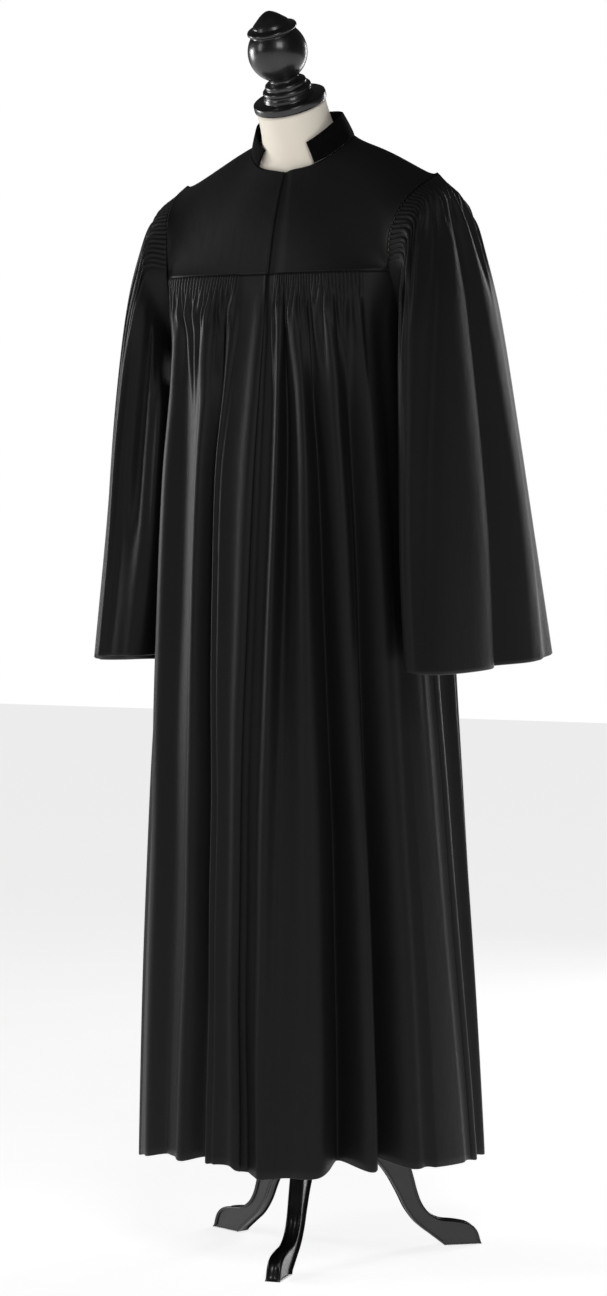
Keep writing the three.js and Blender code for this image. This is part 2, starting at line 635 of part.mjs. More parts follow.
// Sections of the form below the yoke: height, half width, and depth in front of and behind the axis.
const FORM = [
  { z: 1352, side: 158, front: 119, back: 100 },
  { z: 1290, side: 150, front: 118, back: 101 },
  { z: 1200, side: 136, front: 104, back: 96 },
  { z: 1100, side: 124, front: 96, back: 90 },
  { z: 1000, side: 138, front: 104, back: 104 },
  { z: 910, side: 158, front: 114, back: 118 },
  { z: 848, side: 160, front: 112, back: 116 },
  { z: 830, side: 152, front: 104, back: 108 },
];
const FORM_SQUARE = 2.3;
const FORM_COLUMNS = 48;
const NECK_TOP = 73; // length of the neck above the middle of the neckline
const NECK_RADIUS = 49; // and its radius at the top
const neckFoot = new THREE.Vector3(0, NECK_CENTRE_Y, 1573);
const neckFront = new THREE.Vector3(0, -Math.cos(NECK_LEAN), -Math.sin(NECK_LEAN));

const formAngle = (t) => {
  const s = t > 2 ? 4 - t : t;
  const parts = [
    { t: 0, angle: 0 },
    { t: CORNER_T, angle: FRONT_CORNER },
    { t: 1, angle: 90 },
    { t: 2 - CORNER_T, angle: BACK_CORNER },
    { t: 2, angle: 180 },
  ];
  return along(parts, "t", "angle", s) * (t > 2 ? -1 : 1);
};

// How far the form lies under the middle of the yoke's cloth: it carries the shoulders and is clear
// of the laps in front.
const formInset = (t, v) => {
  const middle = Math.abs(Math.cos((Math.PI / 2) * t)) ** 0.6;
  return mix(1.25, 7 + 6 * v, middle);
};

function formRings() {
  const ts = spread(0, 4, FORM_COLUMNS).slice(0, -1);
  const ring = (point) => ts.map((t) => point(t));
  const onYoke = (v) =>
    ring((t) => {
      const s = t > 2 ? t - 4 : t;
      const n = normalOf(yokePoint, s, v, 0.01, 0.01);
      return yokePoint(s, v).addScaledVector(n, -formInset(t, v));
    });
  const below = ({ z, side, front, back }) =>
    ring((t) => {
      const a = THREE.MathUtils.degToRad(formAngle(t));
      const [s, c] = [Math.sin(a), Math.cos(a)];
      const deep = c > 0 ? front : back;
      const across = Math.abs(s / side) ** FORM_SQUARE;
      const ahead = Math.abs(c / deep) ** FORM_SQUARE;
      const r = (across + ahead) ** (-1 / FORM_SQUARE);
      return new THREE.Vector3(r * s, -r * c, z);
    });
  const neck = (share) =>
    ring((t) => {
      const a = (Math.PI / 2) * t;
      const flare = Math.exp(-4.2 * share);
      const p = neckFoot.clone().addScaledVector(neckAxis, NECK_TOP * share);
      p.x += mix(NECK_RADIUS, NECK_HALF_WIDTH - 4, flare) * Math.sin(a);
      return p.addScaledVector(neckFront, mix(NECK_RADIUS, NECK_HALF_DEPTH - 3, flare) * Math.cos(a));
    });
  return [
    ...[1, 0.82, 0.62, 0.42, 0.24, 0.12].map(neck),
    ...[0.04, 0.25, 0.5, 0.75, 0.93].map(onYoke),
    ...FORM.map(below),
  ];
}

// A solid from level rings, closed by a point in the middle of the first and of the last one.
function solidOfRings(rings) {
  const points = rings.flat();
  const n = rings[0].length;
  const faces = [];
  for (let k = 0; k < rings.length - 1; k++)
    for (let i = 0; i < n; i++) {
      const j = (i + 1) % n;
      const [a, b, c, d] = [k * n + i, k * n + j, (k + 1) * n + i, (k + 1) * n + j];
      faces.push(a, c, b, b, c, d);
    }
  const middleOf = (ring) =>
    ring.reduce((sum, p) => sum.add(p), new THREE.Vector3()).multiplyScalar(1 / ring.length);
  const top = points.push(middleOf(rings[0])) - 1;
  const bottom = points.push(middleOf(rings.at(-1))) - 1;
  const last = (rings.length - 1) * n;
  for (let i = 0; i < n; i++) {
    const j = (i + 1) % n;
    faces.push(top, i, j, bottom, last + j, last + i);
  }
  return solidGeometry(points, faces);
}

// ---------------------------------------------------------------- finial and stand

// The turned finial: radius and height above the top of the neck.
const BALL = { radius: 42, height: 79 };
const FINIAL = [
  { r: 0, h: SEATED },
  { r: 50.5, h: SEATED },
  { r: 52, h: 2 },
  { r: 52, h: 10 },
  { r: 50.5, h: 11.5 },
  { r: 36, h: 11.8 },
  { r: 36, h: 17 },
  { r: 33.5, h: 20 },
  { r: 34.5, h: 23 },
  { r: 33.5, h: 27 },
  { r: 29, h: 29.5 },
  { r: 29.5, h: 33 },
  { r: 27.5, h: 36 },
  { r: 21.5, h: 38 },
];
const FINIAL_CAP = [
  { r: 31, h: 109 },
  { r: 35.4, h: 111.5 },
  { r: 35.4, h: 114 },
  { r: 31, h: 117 },
  { r: 26.5, h: 118 },
  { r: 25, h: 121.5 },
  { r: 14, h: 132 },
  { r: 0, h: 139 },
];
function finialPiece() {
  const ball = spread(-60, 44, 9).map((degrees) => {
    const a = THREE.MathUtils.degToRad(degrees);
    return { r: BALL.radius * Math.cos(a), h: BALL.height + BALL.radius * Math.sin(a) };
  });
  const profile = [...FINIAL, ...ball, ...FINIAL_CAP].map(({ r, h }) => new THREE.Vector2(r, h));
  const seat = neckFoot.clone().addScaledVector(neckAxis, NECK_TOP);
  return new THREE.LatheGeometry(profile, 28)
    .rotateX(Math.PI / 2 + NECK_LEAN)
    .translate(seat.x, seat.y, seat.z);
}

// The stand: a pole into a turned hub, and three flat curved legs sawn from board.
const STAND = { x: 0, y: 36 };
const POLE_RADIUS = 15;
const HUB = { radius: 25, bottom: 138, top: 250 };
const LEG_THICK = 22;
const LEG_TURNS = [42, 162, 282]; // directions of the legs from +X towards +Y
const LEG_UPPER = [
  { r: 234, z: 0 },
  { r: 227, z: 20 },
  { r: 214, z: 31 },
  { r: 193, z: 36 },
  { r: 172, z: 39 },
  { r: 156, z: 48 },
  { r: 145, z: 62 },
  { r: 138, z: 80 },
  { r: 131, z: 106 },
  { r: 118, z: 148 },
  { r: 94, z: 190 },
  { r: 60, z: 220 },
  { r: HUB.radius + 0.4, z: 230 },
];
const LEG_LOWER = [
  { r: HUB.radius + 0.4, z: 158 },
  { r: 44, z: 152 },
  { r: 72, z: 130 },
  { r: 92, z: 106 },
  { r: 108, z: 78 },
  { r: 120, z: 54 },
  { r: 136, z: 33 },
  { r: 156, z: 17 },
  { r: 178, z: 0 },
];
function legPiece(degrees) {
  const outline = [...LEG_UPPER, ...LEG_LOWER].map(({ r, z }) => new THREE.Vector2(r, z));
  return new THREE.ExtrudeGeometry(new THREE.Shape(outline), { depth: LEG_THICK, bevelEnabled: false })
    .translate(0, 0, -LEG_THICK / 2)
    .rotateX(Math.PI / 2)
    .rotateZ(THREE.MathUtils.degToRad(degrees))
    .translate(STAND.x, STAND.y, 0);
}
function turnedPost(radius, bottom, top, sides) {
  const profile = [
    new THREE.Vector2(0, bottom),
    new THREE.Vector2(radius, bottom),
    new THREE.Vector2(radius, top),
    new THREE.Vector2(0, top),
  ];
  return new THREE.LatheGeometry(profile, sides).rotateX(Math.PI / 2).translate(STAND.x, STAND.y, 0);
}

// ---------------------------------------------------------------- assembly

const wool = new THREE.MeshStandardMaterial({ color: 0x1a1a1d, roughness: 0.72, metalness: 0 });
const velvet = new THREE.MeshStandardMaterial({ color: 0x060607, roughness: 0.95, metalness: 0 });
const jersey = new THREE.MeshStandardMaterial({ color: 0xefe4cf, roughness: 0.85, metalness: 0 });
const lacquer = new THREE.MeshStandardMaterial({ color: 0x161415, roughness: 0.35, metalness: 0 });
const root = new THREE.Group();
function add(name, geometry, material) {
  const mesh = new THREE.Mesh(geometry, material);
  mesh.name = name;
  root.add(mesh);
}
for (const name of Object.keys(BODY_PIECES)) add(name, bodyPiece(name), wool);
for (const name of Object.keys(YOKE_PIECES)) add(name, yokePiece(name), wool);
add("sleeve_left", sleevePiece(1), wool);
add("sleeve_right", sleevePiece(-1), wool);
add("collar", collarPiece(), velvet);
add("form", solidOfRings(formRings()), jersey);
add("finial", finialPiece(), lacquer);
add("pole", turnedPost(POLE_RADIUS, HUB.top + SEATED, FORM.at(-1).z - SEATED, 20), lacquer);
add("hub", turnedPost(HUB.radius, HUB.bottom, HUB.top, 24), lacquer);
LEG_TURNS.forEach((degrees, i) => add(`leg_${i + 1}`, legPiece(degrees), lacquer));

// The origin goes to the floor, below the middle of the bounding box.
const bounds = new THREE.Box3().setFromObject(root);
const middle = bounds.getCenter(new THREE.Vector3());
for (const mesh of root.children) mesh.geometry.translate(-middle.x, -middle.y, -bounds.min.z);

export default root;
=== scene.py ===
import math

import bpy
import numpy as np
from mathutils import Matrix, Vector


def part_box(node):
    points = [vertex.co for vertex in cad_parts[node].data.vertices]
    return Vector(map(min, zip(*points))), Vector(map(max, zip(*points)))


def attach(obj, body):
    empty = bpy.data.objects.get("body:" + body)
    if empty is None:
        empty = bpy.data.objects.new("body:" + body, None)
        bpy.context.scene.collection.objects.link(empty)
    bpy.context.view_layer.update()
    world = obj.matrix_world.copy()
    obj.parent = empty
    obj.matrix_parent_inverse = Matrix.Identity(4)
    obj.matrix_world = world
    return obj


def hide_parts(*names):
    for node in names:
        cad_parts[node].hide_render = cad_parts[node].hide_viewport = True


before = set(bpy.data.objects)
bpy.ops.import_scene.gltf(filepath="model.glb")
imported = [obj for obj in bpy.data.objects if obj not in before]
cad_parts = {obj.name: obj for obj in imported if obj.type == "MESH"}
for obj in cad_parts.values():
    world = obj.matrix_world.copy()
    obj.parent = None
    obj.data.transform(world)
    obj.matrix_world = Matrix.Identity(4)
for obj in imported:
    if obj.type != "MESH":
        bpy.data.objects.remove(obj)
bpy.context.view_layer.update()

# ---------------------------------------------------------------- the robe's body
# Right front, left front and back: worsted gabardine cut flat, drawn up in cartridge pleats under the
# yokes and left to fall in folds. The right front laps over the left one, held by hidden hooks.
pole_low, pole_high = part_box("pole")
POLE_BEHIND = 36  # millimetres from the robe's own axis back to the stand's pole
robe_axis = np.array([
    (pole_low[0] + pole_high[0]) / 2,
    (pole_low[1] + pole_high[1]) / 2 - POLE_BEHIND / 1000,
    0.0,
])
CLOTH = 1.3  # thickness of the wool
YOKE_SEAM, BACK_SEAM, UNDERARM, HEM = 1396, 1428, 1290, 148  # heights
FRONT_CORNER, SIDE, BACK_CORNER = 61.2, 90, 119  # angles of the yoke seams' ends and of the side seam
LEVEL_BODY = 1150  # below here every row of the cloth is level
TURN = 2 * math.pi


def table(columns, rows):
    """A table with named columns, each one an array."""
    return dict(zip(columns.split(), np.array(rows, dtype=float).T))


def mix(a, b, t):
    return a + (b - a) * t


def smooth(start, end, x):
    t = np.clip((np.asarray(x, dtype=float) - start) / (end - start), 0, 1)
    return t * t * (3 - 2 * t)


def crest(angle):
    """1 at no angle and at every whole turn, and 0 half a turn on."""
    return 0.5 + 0.5 * np.cos(angle)


def curve(keys, values, at):
    """A smooth curve through values at rising keys, read at one place or many."""
    keys, values = np.asarray(keys, dtype=float), np.asarray(values, dtype=float)
    at = np.clip(np.asarray(at, dtype=float), keys[0], keys[-1])
    slopes = np.empty_like(values)
    wide = (keys[2:] - keys[:-2]).reshape(-1, *[1] * (values.ndim - 1))
    slopes[1:-1] = (values[2:] - values[:-2]) / wide
    slopes[0] = (values[1] - values[0]) / (keys[1] - keys[0])
    slopes[-1] = (values[-1] - values[-2]) / (keys[-1] - keys[-2])
    i = np.clip(np.searchsorted(keys, at, side="right") - 1, 0, len(keys) - 2)
    span = keys[i + 1] - keys[i]
    t = (at - keys[i]) / span
    shape = t.shape + (1,) * (values.ndim - 1)
    t, span = t.reshape(shape), span.reshape(shape)
    t2, t3 = t * t, t * t * t
    return (
        (2 * t3 - 3 * t2 + 1) * values[i]
        + (t3 - 2 * t2 + t) * slopes[i] * span
        + (3 * t2 - 2 * t3) * values[i + 1]
        + (t3 - t2) * slopes[i + 1] * span
    )


def wander(seed, places, step=1.0):
    """Even, gentle unevenness between -1 and 1 along a line of places."""
    count = 400
    knots = np.random.default_rng(seed).uniform(-1, 1, count)
    return curve(np.arange(count), knots, np.asarray(places) / step + count / 2)


# Level sections over the crests of the folds, from the hem up.
BODY = table("z side front back front_square back_square", [
    (120, 247, 238, 247, 2.1, 2.1),
    (400, 231, 229, 219, 2.4, 2.3),
    (650, 214, 221, 193, 2.7, 2.5),
    (860, 199, 213, 172, 3.1, 2.8),
    (1110, 187, 190, 148, 3.6, 3.2),
    (1240, 180, 163, 133, 4.0, 3.4),
    (1325, 178, 143, 121, 4.4, 3.6),
    (1396, 190, 131, 112, 4.6, 3.7),
    (1440, 190, 118, 106, 4.6, 3.8),
])


def section(angle, z):
    """Points of the section at height z, by the angle from the front towards the wearer's left."""
    angle, z = np.broadcast_arrays(np.radians(angle), np.asarray(z, dtype=float))
    s, c = np.sin(angle), np.cos(angle)
    read = {name: curve(BODY["z"], BODY[name], z) for name in BODY}
    deep = np.where(c > 0, read["front"], read["back"])
    power = np.where(c > 0, read["front_square"], read["back_square"])
    r = (np.abs(s / read["side"]) ** power + np.abs(c / deep) ** power) ** (-1 / power)
    return np.stack([r * s, -r * c, z], axis=-1)


# The hollows between the folds, round from behind the wearer's right side: the angle and the depth of
# each one below the yoke, at the elbow, over the knee and at the hem. The levels go from the hem up.
FOLD_LEVELS = [150, 650, 1110, 1345]
HOLLOWS = table("top mid low hem d_top d_mid d_low d_hem", [
    (-170, -172, -176, -178, 6, 16, 30, 44),
    (-159, -157, -158, -160, 6, 20, 20, 16),
    (-148, -146, -143, -139, 6, 14, 34, 50),
    (-136, -134, -127, -122, 5, 20, 12, 10),
    (-123, -119, -113, -106, 4, 12, 26, 38),
    (-104, -99, -93, -88, 0, 6, 12, 14),
    (-76, -76, -70, -71, 1, 12, 22, 30),
    (-62, -57, -54, -56, 5, 14, 8, 4),
    (-46, -34.5, -31, -35, 8, 20, 20, 20),
    (-24, -17.5, -13, -13.5, 8, 26, 26, 24),
    (-13, -10, -6, -5, 5, 0, 0, 0),
    (4, 7.5, 5, 6.5, 6, 13, 13, 16),
    (15, 19.5, 18, 17, 7, 24, 14, 4),
    (29, 33, 38, 41, 8, 30, 47, 56),
    (45, 47, 53, 57, 7, 28, 43, 52),
    (60, 64, 70, 74, 4, 10, 1, 0),
    (78, 78, 83, 91, 0, 0, 0, 0),
    (103, 98, 99, 106, 0, 6, 11, 26),
    (121, 117, 115, 121, 4, 14, 26, 8),
    (134, 132, 132, 136, 5, 20, 34, 52),
    (146, 146, 149, 151, 6, 16, 14, 10),
    (158, 160, 165, 166, 6, 20, 28, 40),
    (174, 174, 172, 174, 6, 14, 8, 4),
])
HEM_RISES = table("angle rise", [
    (-180, 0), (-100, -4), (-72, -8), (-48, 10), (-4, 17), (4, 5),
    (16, 2), (36, 13), (75, 7), (115, 0), (180, 0),
])
HEM_LIFT = 0.2  # rise of the hem for each millimetre that a fold draws it in
RISE_START = 420  # height from which the rows begin to follow the hem's rise
FOLD_RUN_IN = 90  # how far below the top edge the folds reach their full depth
FOLD_WANDER, WANDER_STEP = 0.35, 160  # degrees that a fold strays, and the height it strays over
FOLD_NARROW = 1.25
FOLD_SKEW, LEFT_SKEW = 0.65, 0.2  # how steeply the cloth drops into a fold, and over the left front
LEFT_START, LEFT_FULL, LEFT_FADE = 5, 22, 60  # angles where the left front's own skew sets in and fades
ARMHOLE_BEND = 2.3


def folds_at(folds, angles, depths, levels, at):
    """The folds' numbers, angles and depths at one place down the cloth, over three laps of the loop."""
    angle = curve(levels, np.array([folds[name] for name in angles]), at)
    depth = curve(levels, np.array([folds[name] for name in depths]), at)
    numbers = np.arange(-len(angle), 2 * len(angle))
    return numbers, np.concatenate([angle + lap * 360 for lap in (-1, 0, 1)]), np.tile(depth, 3)


def fold_numbers(numbers, angles, at):
    """The fractional numbers of the folds whose lines start at these angles."""
    fine = np.arange(numbers[0], numbers[-1], 0.01)
    return np.interp(at, curve(numbers, angles, fine), fine)


def hollow(number, narrow, skew=0.0):
    """1 at the bottom of a hollow and 0 on the crests beside it. With skew the cloth drops steeply into
    each hollow and rises slowly out of it."""
    number = number + skew * (np.cos(TURN * number) - 1) / TURN
    return crest(TURN * number) ** narrow


BODY_FOLDS = (HOLLOWS, ("hem", "low", "mid", "top"), ("d_hem", "d_low", "d_mid", "d_top"), FOLD_LEVELS)


def turned(angle):
    """The same direction as an angle within half a turn of the front."""
    return (np.asarray(angle, dtype=float) + 180) % 360 - 180


def top_edge(angle):
    """Height of the body pieces' top edge: the yoke seams, and the lower half of the armhole between."""
    a = np.abs(turned(angle))
    corner = np.where(a < SIDE, FRONT_CORNER, BACK_CORNER)
    seam = np.where(a < SIDE, YOKE_SEAM, BACK_SEAM)
    share = np.clip((SIDE - a) / (SIDE - corner), 0, 1)
    return UNDERARM + (seam - UNDERARM) * share ** ARMHOLE_BEND


def body_row(angles, level):
    """One row of the body's points. Level is the row's height where the top edge is the front seam."""
    start = folds_at(*BODY_FOLDS, FOLD_LEVELS[-1])
    number = fold_numbers(start[0], start[1], angles)
    top = top_edge(angles)
    if level > LEVEL_BODY:
        z = mix(LEVEL_BODY, top, (level - LEVEL_BODY) / (YOKE_SEAM - LEVEL_BODY))
    else:
        z = np.full_like(angles, level)
    numbers, fold_angles, fold_depths = folds_at(*BODY_FOLDS, min(level, YOKE_SEAM))
    angle = curve(numbers, fold_angles, number) + FOLD_WANDER * wander(3, z / WANDER_STEP + number * 0.7)
    left_front = smooth(LEFT_START, LEFT_FULL, turned(angles)) * smooth(SIDE, LEFT_FADE, turned(angles))
    skew = mix(FOLD_SKEW, LEFT_SKEW, left_front)
    depth = np.interp(number, numbers, fold_depths) * hollow(number, FOLD_NARROW, skew)
    depth *= smooth(top, top - FOLD_RUN_IN, z)
    p = section(angle, z)
    p[:, :2] *= (1 - depth / np.hypot(p[:, 0], p[:, 1]))[:, None]
    rise = curve(HEM_RISES["angle"], HEM_RISES["rise"], turned(angles)) + HEM_LIFT * depth
    p[:, 2] += rise * smooth(RISE_START, HEM, z)
    return p


def normals(grid, closed=False):
    """Directions square to a grid of points, whose rows run down: outwards on the body and the yokes, and
    inwards on the sleeves, whose columns run the other way round."""
    across = (np.roll(grid, -1, 1) - np.roll(grid, 1, 1)) if closed else np.gradient(grid, axis=1)
    down = np.gradient(grid, axis=0)
    n = np.cross(down, across)
    return n / np.maximum(np.linalg.norm(n, axis=-1, keepdims=True), 1e-9)


def pleat_number(band, places):
    return (np.asarray(places) - band["start"]) / (band["end"] - band["start"]) * band["count"]


PLEAT_RISE, TWOS_RISE, FOURS_RISE = 2.5, 3.0, 6.0  # how far single, paired and merged pleats stand out
THREAD_STEP, THREAD_BITE = 7.5, 0.14  # from row to row of gathering thread, and how much a row draws in
LATE = 7  # how many millimetres sooner or later a pleat closes up than its neighbours
# Stages of the pleats, in millimetres below the seam: where each sets in and where it is done, and how
# many times over a late pleat puts off the one and the other.
SINGLES_END, TWOS_START, TWOS_END = (20, 40, 1, 1), (14, 36, 1, 1), (45, 95, 2, 2)
FOURS_START, FOURS_END = (26, 62, 1, 1), (80, 190, 3, 4)


def passed(stage, late, below):
    """0 above a stage of the pleats and 1 below it."""
    start, end, start_times, end_times = stage
    return smooth(start + start_times * late, end + end_times * late, below)


def gathers(band, places, below, seed):
    """How far cartridge pleats stand off the cloth, by places across and millimetres below the seam.
    They are even while the gathering threads hold them, then close up in twos and fours into folds."""
    p = pleat_number(band, places)[None, :]
    inside = smooth(0, 1, p) * smooth(band["count"], band["count"] - 1, p)
    late = LATE * wander(seed, p, 2.3)
    singles = (0.5 - 0.5 * np.cos(TURN * p)) ** 0.6
    twos = crest(TURN / 2 * p + 2.4 * wander(seed + 1, p, 3)) ** 1.4
    fours = crest(TURN / 4.4 * p + 2.2 * wander(seed + 2, p, 5)) ** 0.75
    in_singles = 1 - passed(SINGLES_END, late, below)
    in_twos = passed(TWOS_START, late, below) * (1 - passed(TWOS_END, late, below))
    in_fours = passed(FOURS_START, late, below) * (1 - passed(FOURS_END, late, below))
    threads = 1 - THREAD_BITE * (1 - np.cos(TURN * below / THREAD_STEP))
    out = PLEAT_RISE * in_singles * singles * threads
    out += TWOS_RISE * in_twos * twos + FOURS_RISE * in_fours * fours
    return inside * out


class Socket:
    """One value among a tree of nodes, on which sums can be written."""

    def __init__(self, nodes, socket):
        self.nodes, self.socket = nodes, socket

    def sum(self, operation, *terms):
        return self.nodes.node("ShaderNodeMath", {"operation": operation}, dict(enumerate(terms)))

    def __add__(self, other):
        return self.sum("ADD", self, other)

    def __radd__(self, other):
        return self.sum("ADD", other, self)

    def __sub__(self, other):
        return self.sum("SUBTRACT", self, other)

    def __rsub__(self, other):
        return self.sum("SUBTRACT", other, self)

    def __mul__(self, other):
        return self.sum("MULTIPLY", self, other)

    def __rmul__(self, other):
        return self.sum("MULTIPLY", other, self)

    def wave(self):
        return self.sum("SINE", self) * 0.5 + 0.5

    def between(self, low, high, start, end):
        """From start to end as this value goes from low to high, and no further."""
        return self.nodes.node("ShaderNodeMapRange", {"clamp": True}, {
            "Value": self, "From Min": low, "From Max": high, "To Min": start, "To Max": end,
        })


class Nodes:
    """A tree of nodes, to which more are added."""

    def __init__(self, tree):
        self.tree = tree

    def plug(self, socket, value):
        if isinstance(value, Socket):
            self.tree.links.new(value.socket, socket)
        else:
            socket.default_value = value

    def node(self, kind, settings=None, inputs=None, output=0):
        made = self.tree.nodes.new(kind)
        for setting, value in (settings or {}).items():
            setattr(made, setting, value)
        for name, value in (inputs or {}).items():
            self.plug(made.inputs[name], value)
        return Socket(self, made.outputs[output])


class Finish(Nodes):
    """A material, made from nodes."""

    def __init__(self, name):
        self.material = bpy.data.materials.new(name)
        self.material.use_nodes = True
        super().__init__(self.material.node_tree)
        self.shader = self.tree.nodes["Principled BSDF"]

    def blend(self, share, first, second):
        """A colour between two others, each given as red, green and blue."""
        colours = {0: share, 6: (*first, 1), 7: (*second, 1)}
        return self.node("ShaderNodeMix", {"data_type": "RGBA"}, colours, output=2)

    def place(self, stretch=(1, 1, 1)):
        """Where a point is, in metres, with each direction stretched."""
        at = self.node("ShaderNodeTexCoord", output="Object")
        return self.node("ShaderNodeVectorMath", {"operation": "MULTIPLY"}, {0: at, 1: stretch})

    def grain(self):
        """Metres across and down the cloth."""
        at = self.node("ShaderNodeUVMap", {"uv_map": "grain"})
        return [self.node("ShaderNodeSeparateXYZ", inputs={0: at}, output=k) for k in (0, 1)]

    def join(self, x, y):
        return self.node("ShaderNodeCombineXYZ", inputs={0: x, 1: y})

    def noise(self, at, scale, detail=2.0, rough=0.5):
        return self.node("ShaderNodeTexNoise", inputs={
            "Vector": at, "Scale": scale, "Detail": detail, "Roughness": rough,
        })

    def relief(self, height, depth):
        """The direction of a surface that stands up by height times depth, in metres."""
        return self.node("ShaderNodeBump", inputs={"Height": height, "Distance": depth, "Strength": 1.0})

    def surface(self, **values):
        for name, value in values.items():
            self.plug(self.shader.inputs[name.replace("_", " ")], value)


TWILL = 0.0009  # metres from one rib of the twill to the next
TWILL_ACROSS, TWILL_DOWN = 0.9, 0.44  # the steep slant of the ribs
YARN_ACROSS, YARN_DOWN = 900, 260  # flecks of yarn to the metre
WOOL_DARK, WOOL_LIGHT = (0.0058, 0.0058, 0.0061), (0.0122, 0.012, 0.0122)
WOOL_RELIEF = 0.00018


def gabardine():
    """Black worsted with a steep fine twill."""
    wool = Finish("black_gabardine")
    across, down = wool.grain()
    twill = (across * (TWILL_ACROSS * TURN / TWILL) + down * (TWILL_DOWN * TURN / TWILL)).wave()
    yarn = wool.noise(wool.join(across * YARN_ACROSS, down * YARN_DOWN), 1.0, 3.0, 0.6)
    cloud = wool.noise(wool.place(), 9.0, 3.0, 0.55)
    soft = wool.noise(wool.place((1, 1, 0.45)), 60.0, 2.0)
    shade = yarn * 0.35 + twill * 0.25 + cloud * 0.4
    wool.surface(
        Base_Color=wool.blend(shade, WOOL_DARK, WOOL_LIGHT),
        Roughness=yarn.between(0.2, 0.8, 0.46, 0.56),
        Specular_IOR_Level=0.16,
        Sheen_Weight=0.01,
        Sheen_Roughness=0.4,
        Sheen_Tint=(0.82, 0.82, 0.9, 1),
        Normal=wool.relief(twill * 0.16 + yarn * 0.3 + soft * 3.0, WOOL_RELIEF),
    )
    return wool.material


wool_finish = gabardine()


def run_along(points):
    """How far each point lies from the first one, along the lines that join them."""
    steps = np.linalg.norm(np.diff(points, axis=0), axis=-1)
    return np.concatenate([np.zeros_like(steps[:1]), np.cumsum(steps, axis=0)])


def shell(name, grid, finish, thickness=CLOTH, closed=False):
    """A cloth piece from a grid of points in millimetres: a surface with its own thickness."""
    rows, columns = grid.shape[:2]
    points = grid.reshape(-1, 3) / 1000 + robe_axis
    faces = []
    for k in range(rows - 1):
        for i in range(columns if closed else columns - 1):
            j = (i + 1) % columns
            here, below = k * columns, (k + 1) * columns
            faces.append((here + i, below + i, below + j, here + j))
    mesh = bpy.data.meshes.new(name)
    mesh.from_pydata([tuple(point) for point in points], [], faces)
    down = run_along(grid)
    middle_row = grid[rows // 2]
    across = run_along(middle_row)
    row, column = np.divmod(np.array(faces), columns)
    grain = np.stack([across[column], down[row, column]], axis=-1)
    if closed:
        whole_round = across[-1] + np.linalg.norm(middle_row[0] - middle_row[-1])
        wrapped = (column == 0) & (column.max(axis=1, keepdims=True) == columns - 1)
        grain[wrapped, 0] = whole_round
    mesh.uv_layers.new(name="grain").data.foreach_set("uv", (grain / 1000).ravel())
    mesh.polygons.foreach_set("use_smooth", [True] * len(faces))
    mesh.materials.append(finish)
    piece = bpy.data.objects.new(name, mesh)
    bpy.context.collection.objects.link(piece)
    wall = piece.modifiers.new("wall", "SOLIDIFY")
    wall.thickness, wall.offset = thickness / 1000, 0
    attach(piece, "root")
    return piece


def stepped(start, *stretches):
    """Values from the start through stretches, each given as its end and the number of its steps."""
    values = [start]
    for end, steps in stretches:
        values.extend(np.linspace(values[-1], end, steps + 1)[1:])
    return np.array(values)


FRONT_EDGE, UNDER_EDGE, SIDE_GAP = 1.5, -13, 0.08  # angles of the front edges, and half a side seam's gap
LAP, LAP_START, LAP_FULL = 2.4, 5, 2  # how far the left front lies under the right one, and from where
SEAM_GAP = 0.3  # between the bodies' top edges and the yokes
BODY_PIECES = {
    "front_right": {
        "from": SIDE_GAP - SIDE, "to": FRONT_EDGE, "band": {"start": -58, "end": -16.5, "count": 28},
        "seed": 11, "cut": (0.43, 1.30), "area": 0.51, "yoke": "yoke_front_right",
    },
    "front_left": {
        "from": UNDER_EDGE, "to": SIDE - SIDE_GAP, "band": {"start": 7, "end": 52, "count": 30},
        "seed": 21, "cut": (0.58, 1.30), "area": 0.62, "yoke": "yoke_front_left",
    },
    "back": {
        "from": SIDE + SIDE_GAP, "to": 3 * SIDE - SIDE_GAP, "band": {"start": 126, "end": 234, "count": 52},
        "seed": 31, "cut": (1.09, 1.34), "area": 1.12, "yoke": "yoke_back",
    },
}
HEM_DEEP, HEM_GAP, HEM_ROWS = 45, 1.9, 7  # the cloth turned up inside, its middles' distance and its rows
HEM_LINE = HEM + HEM_DEEP  # height of the hem's stitches
# Heights of the rows of points, closest in the pleats and beside the hem's stitches.
BODY_LEVELS = stepped(
    YOKE_SEAM - SEAM_GAP, (1364, 9), (1310, 13), (1110, 25), (HEM_LINE + 4, 49), (HEM_LINE - 4, 4), (HEM, 4),
)
PLAIN_STEPS, PLEAT_STEPS = 33, 6  # steps beside the band of pleats, and over each pleat
EDGE_ROLL, ROLL_START, ROLL_FULL = 0.7, 1.6, 0.4  # how proud the right front's edge stands, and from where


def turned_up(grid, inwards):
    """The grid with its lower edge folded up inside it, over its last rows."""
    inwards = inwards * HEM_GAP
    fold = grid[-1] + inwards[-1] / 2 - [0, 0, HEM_GAP / 2]
    inside = (grid + inwards)[:-1 - HEM_ROWS:-1]
    return np.vstack([grid, fold[None], inside])


def pressed(places, seam, wide, deep):
    """How far the iron and the stitches draw the cloth in along a seam."""
    return deep * np.exp(-((np.asarray(places) - seam) / wide) ** 2)


